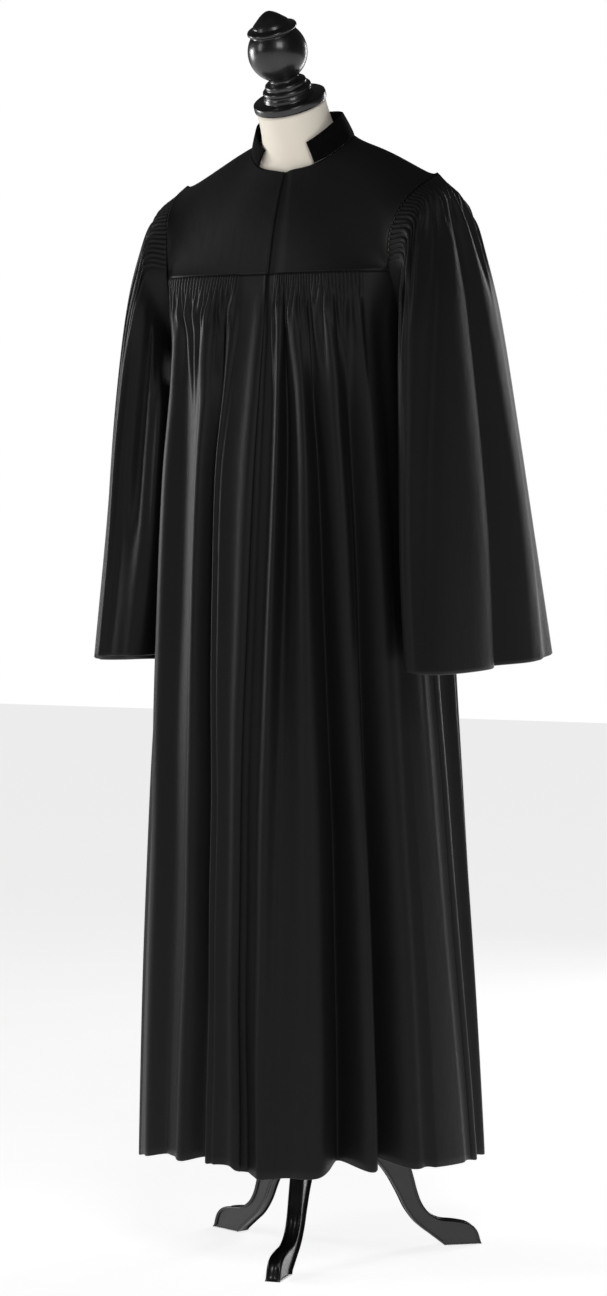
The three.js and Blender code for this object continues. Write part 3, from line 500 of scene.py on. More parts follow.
def body_grid(name):
    piece = BODY_PIECES[name]
    band = piece["band"]
    places = stepped(
        piece["from"], (band["start"], PLAIN_STEPS), (band["end"], band["count"] * PLEAT_STEPS),
        (piece["to"], PLAIN_STEPS),
    )
    grid = np.array([body_row(places, level) for level in BODY_LEVELS])
    below = top_edge(places)[None, :] - grid[:, :, 2]
    out = gathers(band, places, below, piece["seed"])
    out -= pressed(BODY_LEVELS, HEM_LINE, wide=2.2, deep=0.05)[:, None]
    for edge in (piece["from"], piece["to"]):
        if edge not in (UNDER_EDGE, FRONT_EDGE):
            out -= pressed(places, edge, wide=0.5, deep=0.3)
    if name == "front_left":
        out -= LAP * smooth(LAP_START, LAP_FULL, places)
    if name == "front_right":
        out += EDGE_ROLL * smooth(FRONT_EDGE - ROLL_START, FRONT_EDGE - ROLL_FULL, places)
    grid += normals(grid) * out[..., None]
    return turned_up(grid, -normals(grid))


for name, piece in BODY_PIECES.items():
    cloth = shell(name + "_cloth", body_grid(name), wool_finish)
    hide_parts(name)

# ---------------------------------------------------------------- the yokes
# Two front yokes and a back yoke in the same wool, plain and close over the shoulders. The pleated
# bodies are sewn to their lower edges, and the right one laps over the left one in front.
NECK_HALF_WIDTH, NECK_HALF_DEPTH, NECK_CENTRE_Y = 76, 57, -23
NECK_HEIGHTS = table("angle z", [(0, 1541), (35, 1551), (90, 1587), (135, 1600), (180, 1603)])
SHOULDER = (205, -3, 1537)
SEAM_SHARE = 0.52  # share of each quarter of the yoke's edge that is seam; the rest is armhole
CHEST_SWELL, BACK_SWELL = 7, 9
SWELL_OUT, SWELL_UP, BOW = 0.8, 0.6, 1.2  # how the cloth swells between its neck and its edge
SHOULDER_SWELL = {"left": 11, "right": 5}  # the wearer's left shoulder is the fuller one
EASE, EASE_STEPS = 0.16, 9  # how far aside the edge's corners are eased, and in how many steps
front_armhole = np.array([
    section(FRONT_CORNER, YOKE_SEAM), (179.5, -99, 1445), (188, -84, 1484), (198, -50, 1514), SHOULDER,
])
back_armhole = np.array([
    SHOULDER, (199, 42, 1518), (188, 78, 1484), section(BACK_CORNER, BACK_SEAM),
])


def neckline(angle):
    a = np.radians(angle)
    y = NECK_CENTRE_Y - NECK_HALF_DEPTH * np.cos(a)
    z = curve(NECK_HEIGHTS["angle"], NECK_HEIGHTS["z"], np.abs(turned(angle)))
    return np.stack([NECK_HALF_WIDTH * np.sin(a), y, z], axis=-1)


def along(points, share):
    """Points on the smooth curve through others, at shares of the way counted in points."""
    return curve(np.arange(len(points)), points, (len(points) - 1) * share)


def yoke_edge(t):
    """The yoke's outer edge over the wearer's left half: 0 to 1 in front and 1 to 2 behind."""
    t = np.asarray(t, dtype=float)
    in_front = section(np.clip(t / SEAM_SHARE, 0, 1) * FRONT_CORNER, YOKE_SEAM)
    up = along(front_armhole, (t - SEAM_SHARE) / (1 - SEAM_SHARE))
    down = along(back_armhole, (t - 1) / (1 - SEAM_SHARE))
    behind = section(mix(180, BACK_CORNER, np.clip((2 - t) / SEAM_SHARE, 0, 1)), BACK_SEAM)
    where = [t <= SEAM_SHARE, t <= 1, t <= 2 - SEAM_SHARE]
    return np.select([w[..., None] for w in where], [in_front, up, down], behind)


def sharp_yoke_row(ts, v):
    """Points of the yoke before its corners are eased: straight out to the edge, a little swollen."""
    ts = np.mod(ts + 2, 4) - 2
    s = np.abs(ts)
    inner, outer = neckline(90 * s), yoke_edge(s)
    flat = np.abs(np.cos(math.pi / 2 * s))
    out = (outer - inner) * [1, 1, 0]
    out /= np.linalg.norm(out, axis=-1, keepdims=True)
    bowed = math.sin(math.pi * v) ** BOW
    swell = np.where(s < 1, CHEST_SWELL, BACK_SWELL) * flat * bowed
    p = mix(inner, outer, v) + out * SWELL_OUT * swell[:, None]
    lift = np.where(ts < 0, SHOULDER_SWELL["right"], SHOULDER_SWELL["left"])
    p[:, 2] += SWELL_UP * swell + lift * (1 - flat) ** 2 * bowed
    p[:, 0] = np.where(ts < 0, -p[:, 0], p[:, 0])
    return p


def yoke_rows(ts, shares):
    """Points of the yoke: t round its edge, and shares from 0 at the neckline to 1 at the edge.
    The cloth is eased over the corners of the edge, so no crease runs from them to the neck."""
    ease = [EASE * math.sin(math.pi * v) ** 0.5 for v in shares]
    grid = 0
    for aside in np.linspace(-1, 1, EASE_STEPS):
        rows = [sharp_yoke_row(ts + aside * wide, v) for wide, v in zip(ease, shares)]
        grid = grid + np.array(rows) / EASE_STEPS
    return grid


def settled(grid, rounds):
    """The grid with its inner points drawn to the middle of their neighbours, round by round."""
    for _ in range(rounds):
        sides = grid[:-2, 1:-1] + grid[2:, 1:-1] + grid[1:-1, :-2] + grid[1:-1, 2:]
        grid[1:-1, 1:-1] = sides / 4
    return grid


SHOULDER_GAP = 0.0018  # half the gap at a shoulder seam, as a share of a quarter of the edge
YOKE_LAP_START, YOKE_LAP_FULL = 0.13, 0.04
YOKE_COLUMNS, YOKE_SHARES, YOKE_ROUNDS = 90, np.linspace(0, 1, 60), 40
EDGE_PROUD = 0.2  # how far the edge stands out where it is turned under
YOKE_PIECES = {
    "yoke_front_right": (SHOULDER_GAP - 1, 0.02, (0.21, 0.215), 0.038),
    "yoke_front_left": (-0.17, 1 - SHOULDER_GAP, (0.225, 0.215), 0.043),
    "yoke_back": (1 + SHOULDER_GAP, 3 - SHOULDER_GAP, (0.42, 0.215), 0.075),
}
for name, (start, end, cut, area) in YOKE_PIECES.items():
    ts = np.linspace(start, end, int((end - start) * YOKE_COLUMNS))
    grid = settled(yoke_rows(ts, YOKE_SHARES), YOKE_ROUNDS)
    turned_edge = EDGE_PROUD * smooth(0.975, 1.0, YOKE_SHARES)[:, None]
    lap = LAP * smooth(YOKE_LAP_START, YOKE_LAP_FULL, ts) if name == "yoke_front_left" else 0 * ts
    grid += normals(grid) * (turned_edge - lap)[..., None]
    cloth = shell(name + "_cloth", grid, wool_finish)
    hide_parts(name)

# ---------------------------------------------------------------- the sleeves
# Wide bell sleeves in the same wool, each one sheet sewn into a tube. Its head is drawn up in cartridge
# pleats round the top of the armhole, and the cloth falls from there in long folds to an open cuff.
LOOP_POINTS = ("out", "inn", "front", "back")
LOOP_PLACES = [f"{point}_{axis}" for point in LOOP_POINTS for axis in "xyz"]
# Each loop round the left sleeve, by its share of the way down: how square it is, and its points that
# lie furthest out, furthest in, furthest forwards and furthest back.
SLEEVE_LOOPS = table(" ".join(["v", "square", *LOOP_PLACES]), [
    (0.05, 1.9, 222, 2, 1510, 197, -2, 1284, 206, -110, 1418, 206, 110, 1418),
    (0.12, 2.0, 236, 10, 1470, 199, 4, 1246, 213, -127, 1372, 213, 124, 1368),
    (0.24, 2.2, 250, 20, 1388, 200, 8, 1178, 222, -142, 1292, 222, 139, 1288),
    (0.45, 2.4, 266, 30, 1232, 203, 14, 1072, 233, -153, 1158, 236, 159, 1150),
    (0.72, 2.5, 280, 42, 1040, 210, 20, 960, 243, -162, 1002, 251, 185, 996),
    (1.00, 2.5, 290, 48, 850, 219, 26, 862, 256, -171, 848, 266, 210, 866),
])
# The hollows round each sleeve: their angles and depths from the band of pleats down to the cuff. Where
# a depth is below nothing, the cloth stands out in a ridge of its own.
SLEEVE_LEVELS = [0.08, 0.3, 0.5, 0.72, 1.0]
SLEEVE_ANGLES = ("top", "upper", "elbow", "lower", "cuff")
SLEEVE_DEPTHS = ("d_top", "d_upper", "d_elbow", "d_lower", "d_cuff")
SLEEVE_COLUMNS = " ".join(SLEEVE_ANGLES + SLEEVE_DEPTHS)
LEFT_HOLLOWS = table(SLEEVE_COLUMNS, [
    (6, 2, -4, -8, -6, 5, 12, 18, 24, 28),
    (33, 52, 64, 70, 72, 10, 14, 16, 14, 4),
    (78, 92, 100, 104, 106, 6, 2, 0, 0, 0),
    (146, 146, 146, 148, 150, 2, 1, 0, 0, 0),
    (205, 206, 208, 209, 210, 2, 6, 10, 13, 16),
    (258, 258, 260, 262, 264, 8, 10, 12, 14, 16),
    (325, 317, 313, 311, 313, 8, 10, 12, 12, 10),
])
RIGHT_HOLLOWS = table(SLEEVE_COLUMNS, [
    (14, 8, 2, -3, -7, 8, 14, 20, 24, 26),
    (38, 38, 38, 36, 34, 6, 6, 5, 4, 3),
    (66, 66, 66, 64, 60, 8, 13, 14, 10, 5),
    (93, 92, 92, 94, 98, -5, -7, -8, -8, -8),
    (117, 117, 118, 120, 122, 9, 17, 17, 3, 2),
    (139, 137, 137, 138, 140, -6, -7, -7, -4, -2),
    (162, 160, 160, 161, 163, 4, 5, 5, 5, 5),
    (208, 210, 210, 211, 212, 2, 6, 10, 13, 16),
    (264, 263, 262, 264, 266, 8, 10, 12, 14, 16),
    (312, 312, 312, 314, 316, 10, 12, 13, 12, 10),
])
SLEEVE_BAND = {"start": -78, "end": 95, "count": 44}
BAND_END, FOLDS_FULL, SLEEVE_HEM = 0.05, 0.16, 0.968  # shares of the way down
SLEEVE_SEAM = 236  # angle of the one seam, behind the arm
SLEEVE_SEED = 41
HEAD_GAP, UNDER_GAP = 0.2, 2.2  # how far the sleeve's edge stands off the armhole, above and below
CORNER_SHARE = 0.14  # share of the armhole's points that are left out beside each yoke seam's end


def by_length(points, share):
    """Points at shares of the length along a curve."""
    fine = along(points, np.linspace(0, 1, 400))
    run = run_along(fine)
    at = np.asarray(share) * run[-1]
    return np.stack([np.interp(at, run, fine[:, k]) for k in range(3)], axis=-1)


under_front = body_row(np.linspace(FRONT_CORNER, SIDE, 6), YOKE_SEAM)
under_back = body_row(np.linspace(SIDE, BACK_CORNER, 6), YOKE_SEAM)
armhole_front = np.vstack([along(front_armhole, np.linspace(1, CORNER_SHARE, 7)), under_front])
armhole_back = np.vstack([under_back, along(back_armhole, np.linspace(1 - CORNER_SHARE, 0, 7))])


def armhole(angle):
    """Points of the armhole, by the angle from the shoulder down in front and up again behind."""
    half_turns = np.asarray(angle, dtype=float) % 360 / 180
    front = by_length(armhole_front, np.clip(half_turns, 0, 1))
    back = by_length(armhole_back, np.clip(half_turns - 1, 0, 1))
    return np.where((half_turns <= 1)[:, None], front, back)


LAID_BACK = {"out": (6, -8, 0), "front": (16, 34, 17), "inn": (-9, 0, 0)}  # the right sleeve's own hang
HANG_START, HANG_FULL, CUFF_START, CUFF_EASE = 0.03, 0.3, 0.7, 0.25  # where it sets in and eases off
CORNER = {"angle": 142, "reach": 44, "out": (-28, -36, 0)}  # how far it laps over the body's side


def loop_points(k, angle, side):
    """Points of one loop of the sleeve: a squarish oval through its four furthest points."""
    v, square = SLEEVE_LOOPS["v"][k], SLEEVE_LOOPS["square"][k]
    furthest = {name: np.array([SLEEVE_LOOPS[f"{name}_{axis}"][k] for axis in "xyz"]) for name in LOOP_POINTS}
    if side < 0:
        share = smooth(HANG_START, HANG_FULL, v) * (1 - CUFF_EASE * smooth(CUFF_START, 1, v))
        for name, way in LAID_BACK.items():
            furthest[name] += np.array(way) * share
    out, inn, front, back = furthest.values()
    a = np.radians(angle)
    c, s = np.cos(a), np.sin(a)
    r = (np.abs(c) ** square + np.abs(s) ** square) ** (-1 / square)
    middle = (out + inn + front + back) / 4
    first = np.where((c > 0)[:, None], out - middle, inn - middle) * (r * np.abs(c))[:, None]
    second = np.where((s > 0)[:, None], front - middle, back - middle) * (r * np.abs(s))[:, None]
    p = middle + first + second
    if side < 0:
        away = (angle % 360 - CORNER["angle"]) / CORNER["reach"]
        near = crest(np.clip(away, -1, 1) * math.pi)
        p += near[:, None] * np.array(CORNER["out"]) * smooth(BAND_END, HANG_FULL, v)
    return p


def sleeve_shape(angle, v, side):
    loops = [loop_points(k, angle, side) for k in range(len(SLEEVE_LOOPS["v"]))]
    start = armhole(angle)
    ahead = loops[0] - start
    gap = mix(UNDER_GAP, HEAD_GAP, crest(np.radians(angle)))
    start = start + ahead / np.linalg.norm(ahead, axis=-1, keepdims=True) * gap[:, None]
    return curve(np.concatenate([[0], SLEEVE_LOOPS["v"]]), np.array([start] + loops), v)


NARROW = {1: 2.0, -1: 1.3}  # how narrow the hollows of each sleeve are


def sleeve_row(angles, v, hollows, side):
    folds = (hollows, SLEEVE_ANGLES, SLEEVE_DEPTHS, SLEEVE_LEVELS)
    start = folds_at(*folds, SLEEVE_LEVELS[0])
    number = fold_numbers(start[0], start[1], angles)
    numbers, fold_angles, fold_depths = folds_at(*folds, v)
    angle = curve(numbers, fold_angles, number)
    depth = curve(numbers, fold_depths, number) * hollow(number, NARROW[side])
    depth *= smooth(BAND_END, FOLDS_FULL, v)
    p, opposite = sleeve_shape(angle, v, side), sleeve_shape(angle + 180, v, side)
    inwards = (opposite - p) * [1, 1, 0]
    inwards /= np.linalg.norm(inwards, axis=-1, keepdims=True)
    return p + inwards * depth[:, None]


# Columns of points round the sleeve, the band's first, and its rows from the armhole to the cuff.
band_end, whole_round = (SLEEVE_BAND["end"], SLEEVE_BAND["count"] * 5), (SLEEVE_BAND["start"] + 360, 91)
sleeve_places = stepped(SLEEVE_BAND["start"], band_end, whole_round)[:-1]
sleeve_shares = stepped(
    0, (BAND_END, 8), (FOLDS_FULL, 19), (SLEEVE_HEM - 0.006, 57), (SLEEVE_HEM + 0.006, 4), (1, 4),
)
for side, name, hollows in ((1, "sleeve_left", LEFT_HOLLOWS), (-1, "sleeve_right", RIGHT_HOLLOWS)):
    places = sleeve_places[::side]  # the right sleeve is mirrored, so its places run the other way
    grid = np.array([sleeve_row(places, v, hollows, side) for v in sleeve_shares])
    grid[..., 0] *= side
    out = gathers(SLEEVE_BAND, places, run_along(grid), SLEEVE_SEED + side)
    out += pressed(sleeve_shares, SLEEVE_HEM, wide=0.003, deep=0.04)[:, None]
    out += pressed(places, SLEEVE_SEAM, wide=0.7, deep=0.9)
    grid += normals(grid, closed=True) * out[..., None]
    hemmed = turned_up(grid, normals(grid, closed=True))
    cloth = shell(name + "_cloth", hemmed, wool_finish, closed=True)
    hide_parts(name)

# ---------------------------------------------------------------- the collar
# A stand collar in black velvet over a stiffening, sewn round the neckline. It stops short of the
# middle in front, where its ends slope forwards.
NECK_LEAN = math.radians(28)
neck_axis = np.array([0, -math.sin(NECK_LEAN), math.cos(NECK_LEAN)])
COLLAR_END, COLLAR_HEIGHT, COLLAR_LIFT, VELVET = 36, 32.5, 1.35, 2.4
COLLAR_DROP, DROP_START, DROP_FULL = 8, 230, 320  # how much lower its right end is, and from where round
COLLAR_SEAM = 0.2  # how far inside the neckline its foot stands
COLLAR_LEAN, COLLAR_BOW = {"front": 15.5, "back": 5.5}, 1.3  # how far its top leans in, and how bowed
collar_angles = np.linspace(COLLAR_END, 360 - COLLAR_END, 150)
foot = neckline(collar_angles)
outwards = (foot - [0, NECK_CENTRE_Y, 0]) * [1, 1, 0]
outwards /= np.linalg.norm(outwards, axis=-1, keepdims=True)
lean = mix(COLLAR_LEAN["back"], COLLAR_LEAN["front"], crest(np.radians(collar_angles)))
height = COLLAR_HEIGHT - COLLAR_DROP * smooth(DROP_START, DROP_FULL, collar_angles)
collar_rows = []
for v in np.linspace(1, 0, 26):
    inset = COLLAR_SEAM + lean * v ** COLLAR_BOW
    rise = COLLAR_LIFT + height * v
    collar_rows.append(foot - outwards * inset[:, None] + neck_axis * rise[:, None])


def pile():
    """Black cotton velvet: a short dense pile that swallows light, brushed a little unevenly."""
    velvet = Finish("black_velvet")
    brushed = velvet.noise(velvet.place(), 70.0, 3.0)
    tufts = velvet.noise(velvet.place(), 2400.0, 2.0)
    velvet.surface(
        Base_Color=velvet.blend(brushed, (0.0012, 0.0012, 0.0015), (0.0036, 0.0036, 0.0042)),
        Roughness=0.95,
        Specular_IOR_Level=0.08,
        Sheen_Weight=0.04,
        Sheen_Roughness=0.3,
        Normal=velvet.relief(tufts + brushed * 2.0, 0.0004),
    )
    return velvet.material


collar = shell("collar_velvet", np.array(collar_rows), pile(), thickness=VELVET)
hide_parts("collar")

# ---------------------------------------------------------------- the dress form
# A padded bust without head, arms or legs, covered in cream cotton jersey drawn tight. The neck ends
# in a flat top that the finial is screwed to, and a flat underside sits on the pole.
FORM = table("z side front back", [
    (830, 152, 104, 108), (848, 160, 112, 116), (910, 158, 114, 118), (1000, 138, 104, 104),
    (1100, 124, 96, 90), (1200, 136, 104, 96), (1290, 150, 118, 101), (1352, 158, 119, 100),
])
FORM_SQUARE, FORM_SIDES = 2.3, 144
NECK_TOP, NECK_RADIUS, NECK_ROUND = 73, 49, 3  # its height, its radius and the rounding of its top edge
NECK_FLARE = {"rate": 4.2, "side": 4, "front": 3}  # how fast it widens, and how far inside the neckline
# Rings of points: down the neck, out over the shoulders under the yokes, and down the trunk.
NECK_SHARES = (1, 0.99, 0.96, 0.9, 0.82, 0.72, 0.62, 0.52, 0.42, 0.33, 0.24, 0.12)
SHOULDER_SHARES = (0.04, 0.14, 0.25, 0.37, 0.5, 0.62, 0.75, 0.93)
TRUNK_LEVELS = (1352, 1320, 1290, 1245, 1200, 1150, 1100, 1050, 1000, 955, 910, 880, 860, 846, 836, 831, 830)
SLOPE_STEP = 0.01  # how far apart the rows are from which the yoke's slope is read
SHOULDER_INSET, CHEST_INSET, CHEST_FALL = 1.6, 7.4, 6  # how far it lies inside the yokes' cloth
neck_foot = np.array([0, NECK_CENTRE_Y, 1573])
neck_front = np.array([0, -math.cos(NECK_LEAN), -math.sin(NECK_LEAN)])


def neck_ring(a, share):
    flare = math.exp(-NECK_FLARE["rate"] * share)
    edge = NECK_ROUND * smooth(0.955, 1.0, share)
    across = mix(NECK_RADIUS, NECK_HALF_WIDTH - NECK_FLARE["side"], flare) - edge
    ahead = mix(NECK_RADIUS, NECK_HALF_DEPTH - NECK_FLARE["front"], flare) - edge
    middle = neck_foot + neck_axis * (NECK_TOP * share)
    return middle + np.outer(np.sin(a), [across, 0, 0]) + np.outer(np.cos(a) * ahead, neck_front)


def shoulder_ring(ts, share):
    """A ring under the yokes' cloth, closest to it at the shoulders."""
    around = yoke_rows(ts, [share - SLOPE_STEP, share, share + SLOPE_STEP])
    chest_inset = CHEST_INSET + CHEST_FALL * share
    inset = mix(SHOULDER_INSET, chest_inset, np.abs(np.cos(ts * math.pi / 2)) ** 0.6)
    return around[1] - normals(around, closed=True)[1] * inset[:, None]


def trunk_ring(angle, z):
    side, front, back = (curve(FORM["z"], FORM[name], z) for name in ("side", "front", "back"))
    s, c = np.sin(angle), np.cos(angle)
    deep = np.where(c > 0, front, back)
    r = (np.abs(s / side) ** FORM_SQUARE + np.abs(c / deep) ** FORM_SQUARE) ** (-1 / FORM_SQUARE)
    return np.stack([r * s, -r * c, np.full_like(r, z)], axis=-1)


def form_grid():
    ts = np.linspace(0, 4, FORM_SIDES + 1)[:-1]
    half = np.where(ts > 2, ts - 4, ts)
    corners = [0, SEAM_SHARE, 1, 2 - SEAM_SHARE, 2]
    angle = np.radians(curve(corners, [0, FRONT_CORNER, SIDE, BACK_CORNER, 180], np.abs(half)))
    angle *= np.where(half < 0, -1, 1)
    return np.array(
        [neck_ring(ts * math.pi / 2, share) for share in NECK_SHARES]
        + [shoulder_ring(half, share) for share in SHOULDER_SHARES]
        + [trunk_ring(angle, z) for z in TRUNK_LEVELS]
    )


def closed_piece(name, rings, finish, node):
    """A solid piece from rings of points, filled at both ends."""
    count, n = rings.shape[:2]
    verts = [tuple(v) for v in rings.reshape(-1, 3) / 1000 + robe_axis]
    faces = [
        (k * n + i, (k + 1) * n + i, (k + 1) * n + (i + 1) % n, k * n + (i + 1) % n)
        for k in range(count - 1) for i in range(n)
    ]
    faces.append(tuple(range(n)))
    faces.append(tuple(reversed(range((count - 1) * n, count * n))))
    mesh = bpy.data.meshes.new(name)
    mesh.from_pydata(verts, [], faces)
    mesh.polygons.foreach_set("use_smooth", [True] * (len(faces) - 2) + [False, False])
    mesh.materials.append(finish)
    piece = bpy.data.objects.new(name, mesh)
    bpy.context.collection.objects.link(piece)
    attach(piece, "root")
    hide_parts(node)
    return piece


def stretched_jersey():
    jersey = Finish("cream_jersey")
    stitches = jersey.noise(jersey.place((1, 1, 0.35)), 1500.0, 2.0)
    shade = jersey.noise(jersey.place(), 14.0, 2.0)
    jersey.surface(
        Base_Color=jersey.blend(shade, (0.86, 0.79, 0.67), (0.93, 0.87, 0.76)),
        Roughness=stitches.between(0.2, 0.8, 0.7, 0.85),
        Specular_IOR_Level=0.25,
        Sheen_Weight=0.1,
        Normal=jersey.relief(stitches, 0.00012),
    )
    return jersey.material


form = closed_piece("form_jersey", form_grid(), stretched_jersey(), "form")

# ---------------------------------------------------------------- the finial
# Turned beech, stained and lacquered black: a stepped base, a ball and a small cap, in line with the
# leaning neck.
BALL_RADIUS, BALL_HEIGHT, BALL_START, BALL_END = 42, 79, -60, 44  # the ends in degrees from its middle
FINIAL_FOOT = [
    (0, 0.3), (50.2, 0.3), (51.6, 1.2), (52, 3), (52, 9), (51.6, 10.6), (50.2, 11.5), (37.5, 11.8),
    (36.2, 12.6), (36, 14), (35.6, 17), (34, 18.8), (33.5, 20.2), (34.5, 22), (34.9, 24), (34.4, 26.2),
    (33, 27.8), (30, 28.8), (29, 29.8), (29.6, 31.4), (29.6, 33), (28.8, 35), (27, 36.4), (23.5, 37.4),
    (21.5, 38.6), (20.6, 40.2),
]
FINIAL_CAP = [
    (30.6, 108.9), (34.4, 110.4), (35.4, 111.9), (35.4, 113.6), (34.4, 115.2), (31, 116.7), (27.4, 117.5),
    (26.3, 118.8), (25.9, 120.2), (24.9, 122), (22, 124.8), (18, 128.4), (13.6, 132.4), (9, 135.8),
    (4.5, 138.2), (0, 139),
]
TURNED_SIDES, LEAST_RADIUS = 96, 0.05  # sides of a turned ring, and the least radius of one


def black_lacquer():
    """Black lacquer on turned wood, with faint grain under it and a little dust in the gloss."""
    lacquer = Finish("black_lacquer")
    grain = lacquer.noise(lacquer.place((1, 1, 0.06)), 420.0, 3.0)
    wear = lacquer.noise(lacquer.place(), 55.0, 4.0, 0.6)
    lacquer.surface(
        Base_Color=lacquer.blend(wear, (0.0035, 0.0035, 0.004), (0.011, 0.0105, 0.0105)),
        Roughness=wear.between(0.25, 0.75, 0.24, 0.4),
        Specular_IOR_Level=0.45,
        Coat_Weight=0.35,
        Coat_Roughness=0.16,
        Normal=lacquer.relief(grain + wear * 0.6, 0.00006),
    )
    return lacquer.material


def turned_rings(profile, seat, axis, ahead):
    """Rings of a turned piece: each point of its profile is a radius and a height over the seat."""
    a = np.linspace(0, TURN, TURNED_SIDES + 1)[:-1]
    aside = np.cross(axis, ahead)
    around = np.outer(np.cos(a), ahead) + np.outer(np.sin(a), aside)
    return np.array([seat + axis * h + around * max(r, LEAST_RADIUS) for r, h in reversed(profile)])


lacquer_finish = black_lacquer()
ball = [
    (BALL_RADIUS * math.cos(a), BALL_HEIGHT + BALL_RADIUS * math.sin(a))
    for a in np.radians(np.linspace(BALL_START, BALL_END, 40))
]
neck_seat = neck_foot + neck_axis * NECK_TOP
finial_rings = turned_rings(FINIAL_FOOT + ball + FINIAL_CAP, neck_seat, neck_axis, neck_front)
closed_piece("finial_turned", finial_rings, lacquer_finish, "finial")

# ---------------------------------------------------------------- the stand
# A round pole screwed into a turned hub, and three flat legs sawn from board in a slow double curve,
# their edges rounded over. All of it is lacquered black.
POLE_RADIUS, POLE_BOTTOM, POLE_TOP = 15, 250.3, 829.7
HUB_RADIUS, HUB_BOTTOM, HUB_TOP = 25, 138, 250
LEG_THICK, LEG_ROUND, LEG_TURNS = 22, 3.5, (42, 162, 282)
up, forwards = np.array([0, 0, 1.0]), np.array([0, -1.0, 0])
stand_foot = np.array([0, POLE_BEHIND, 0.0])
STAND_PROFILES = {
    "pole": [(0, POLE_BOTTOM), (POLE_RADIUS, POLE_BOTTOM), (POLE_RADIUS, POLE_TOP), (0, POLE_TOP)],
    "hub": [
        (0, HUB_BOTTOM), (20, HUB_BOTTOM), (23.4, 139.4), (HUB_RADIUS, 142), (HUB_RADIUS, 238), (24.6, 240),
        (23.2, 241.6), (22.4, 243), (22.8, 245), (22.4, 247.6), (20.4, HUB_TOP), (0, HUB_TOP),
    ],
}
for name, profile in STAND_PROFILES.items():
    rings = turned_rings(profile, stand_foot, up, forwards)
    closed_piece(name + "_turned", rings, lacquer_finish, name)
LEG_ROOT = HUB_RADIUS + 0.4
LEG_UPPER = [
    (234, 0), (227, 20), (214, 31), (193, 36), (172, 39), (156, 48), (145, 62), (138, 80), (131, 106),
    (118, 148), (94, 190), (60, 220), (LEG_ROOT, 230),
]
LEG_LOWER = [
    (LEG_ROOT, 158), (44, 152), (72, 130), (92, 106), (108, 78), (120, 54), (136, 33), (156, 17), (178, 0),
]
OUTLINE_STEPS, ROUND_STEPS = 5, 5  # steps from point to point of the outline, and rings over a rounding


def traced(points):
    return along(np.array(points, dtype=float), np.linspace(0, 1, (len(points) - 1) * OUTLINE_STEPS + 1))


def sawn_leg(name, degrees):
    """A leg sawn to its outline and rounded over along both edges."""
    outline = np.vstack([traced(LEG_UPPER), traced(LEG_LOWER)])
    inwards = np.roll(outline, -1, 0) - np.roll(outline, 1, 0)
    inwards = np.stack([-inwards[:, 1], inwards[:, 0]], axis=-1)
    inwards /= np.linalg.norm(inwards, axis=1, keepdims=True)
    standing = outline[:, 1] < 0.01
    inwards[standing] = [0, 0]
    rings = []
    for side in (-1, 1):
        for turn in np.linspace(0, math.pi / 2, ROUND_STEPS)[::side]:
            inset = LEG_ROUND * (1 - math.sin(turn))
            away = side * (LEG_THICK / 2 - LEG_ROUND * (1 - math.cos(turn)))
            flat = outline + inwards * inset
            rings.append(np.stack([flat[:, 0], np.full(len(flat), away), flat[:, 1]], axis=-1))
    c, s = math.cos(math.radians(degrees)), math.sin(math.radians(degrees))
    turned_leg = np.array(rings) @ np.array([[c, s, 0], [-s, c, 0], [0, 0, 1]]) + stand_foot
    closed_piece(name + "_sawn", turned_leg, lacquer_finish, name)


for number, degrees in enumerate(LEG_TURNS, 1):
    sawn_leg(f"leg_{number}", degrees)

# ---------------------------------------------------------------- floor, light and camera
# A pale floor, four wide soft lights, and the camera at the wearer's left front. The room is nearly
# dark, and the camera alone sees it as white.
VIEW_AZIMUTH, VIEW_PITCH = math.radians(30), math.radians(2.17)
CAMERA_AWAY, CAMERA_HEIGHT, CAMERA_ASIDE = 5.15, 1.066, -0.011
FOCAL_PIXELS, LONG_SIDE, SENSOR = 3609, 1296, 36
rightwards = np.array([math.cos(VIEW_AZIMUTH), math.sin(VIEW_AZIMUTH), 0])
level_ahead = np.array([-math.sin(VIEW_AZIMUTH), math.cos(VIEW_AZIMUTH), 0])
camera_data = bpy.data.cameras.new("camera")
camera_data.sensor_width = SENSOR
camera_data.lens = FOCAL_PIXELS * SENSOR / LONG_SIDE
camera = bpy.data.objects.new("camera", camera_data)
camera_low = robe_axis - level_ahead * CAMERA_AWAY + rightwards * CAMERA_ASIDE
camera.location = camera_low + [0, 0, CAMERA_HEIGHT]
camera.rotation_euler = (math.pi / 2 - VIEW_PITCH, 0, VIEW_AZIMUTH)
bpy.context.collection.objects.link(camera)
bpy.context.scene.camera = camera


def soft_light(name, place, aim, size, power, spread=180):
    data = bpy.data.lights.new(name, "AREA")
    data.shape, data.size, data.size_y = "RECTANGLE", size[0], size[1]
    data.energy, data.spread = power, math.radians(spread)
    light = bpy.data.objects.new(name, data)
    light.location = place
    light.rotation_euler = (Vector(aim) - Vector(place)).to_track_quat("-Z", "Y").to_euler()
    bpy.context.collection.objects.link(light)


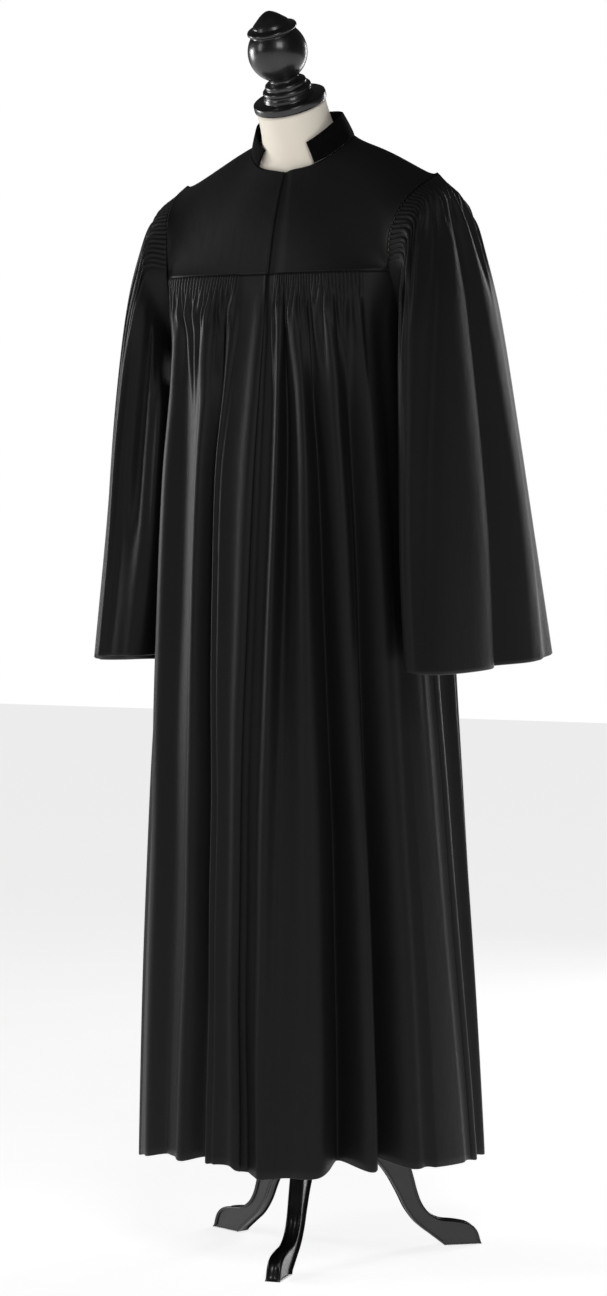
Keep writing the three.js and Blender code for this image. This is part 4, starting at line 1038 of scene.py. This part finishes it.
def in_view(across, ahead, up):
    """A place given as the camera sees it, from the robe's axis."""
    return tuple(robe_axis + rightwards * across + level_ahead * ahead + np.array([0, 0, up]))


soft_light("key_light", in_view(-3.3, -1.2, 2.4), in_view(0, 0, 1.2), (0.8, 1.2), 15)
soft_light("left_light", in_view(-2.4, 1.1, 1.5), in_view(0, 0, 1.15), (1.0, 1.1), 4.8, 50)
soft_light("right_light", in_view(1.9, 2.7, 1.5), in_view(0, 0, 0.9), (0.5, 2.2), 27)
soft_light("fill_light", in_view(0.5, -3.8, 3.0), in_view(0, 0, 1.3), (1.4, 1.4), 44)

FLOOR_REACH, ROOM_LIGHT = 12, 0.04
WHITE = (1, 1, 1, 1)
floor_mesh = bpy.data.meshes.new("floor")
floor_corners = [(x * FLOOR_REACH, y * FLOOR_REACH, 0) for x, y in ((-1, -1), (1, -1), (1, 1), (-1, 1))]
floor_mesh.from_pydata(floor_corners, [], [(0, 1, 2, 3)])
pale = Finish("pale_floor")
scuffs = pale.noise(pale.place(), 3.0, 4.0)
pale.surface(
    Base_Color=pale.blend(scuffs, (0.86, 0.86, 0.86), (0.9, 0.9, 0.9)),
    Roughness=scuffs.between(0.3, 0.7, 0.3, 0.42),
    Specular_IOR_Level=0.4,
    Emission_Color=WHITE,
    Emission_Strength=0.8,
)
floor_mesh.materials.append(pale.material)
floor = bpy.data.objects.new("floor", floor_mesh)
bpy.context.collection.objects.link(floor)
world = bpy.data.worlds.new("studio")
world.use_nodes = True
studio = Nodes(world.node_tree)
background = studio.tree.nodes["Background"]
studio.plug(background.inputs["Color"], WHITE)
studio.plug(background.inputs["Strength"], ROOM_LIGHT)
room = Socket(studio, background.outputs[0])
seen = studio.node("ShaderNodeBackground", inputs={"Color": WHITE})
to_camera = studio.node("ShaderNodeLightPath", output="Is Camera Ray")
either = studio.node("ShaderNodeMixShader", inputs={0: to_camera, 1: room, 2: seen})
studio.plug(studio.tree.nodes["World Output"].inputs["Surface"], either)
bpy.context.scene.world = world
bpy.context.scene.view_settings.view_transform = "Standard"
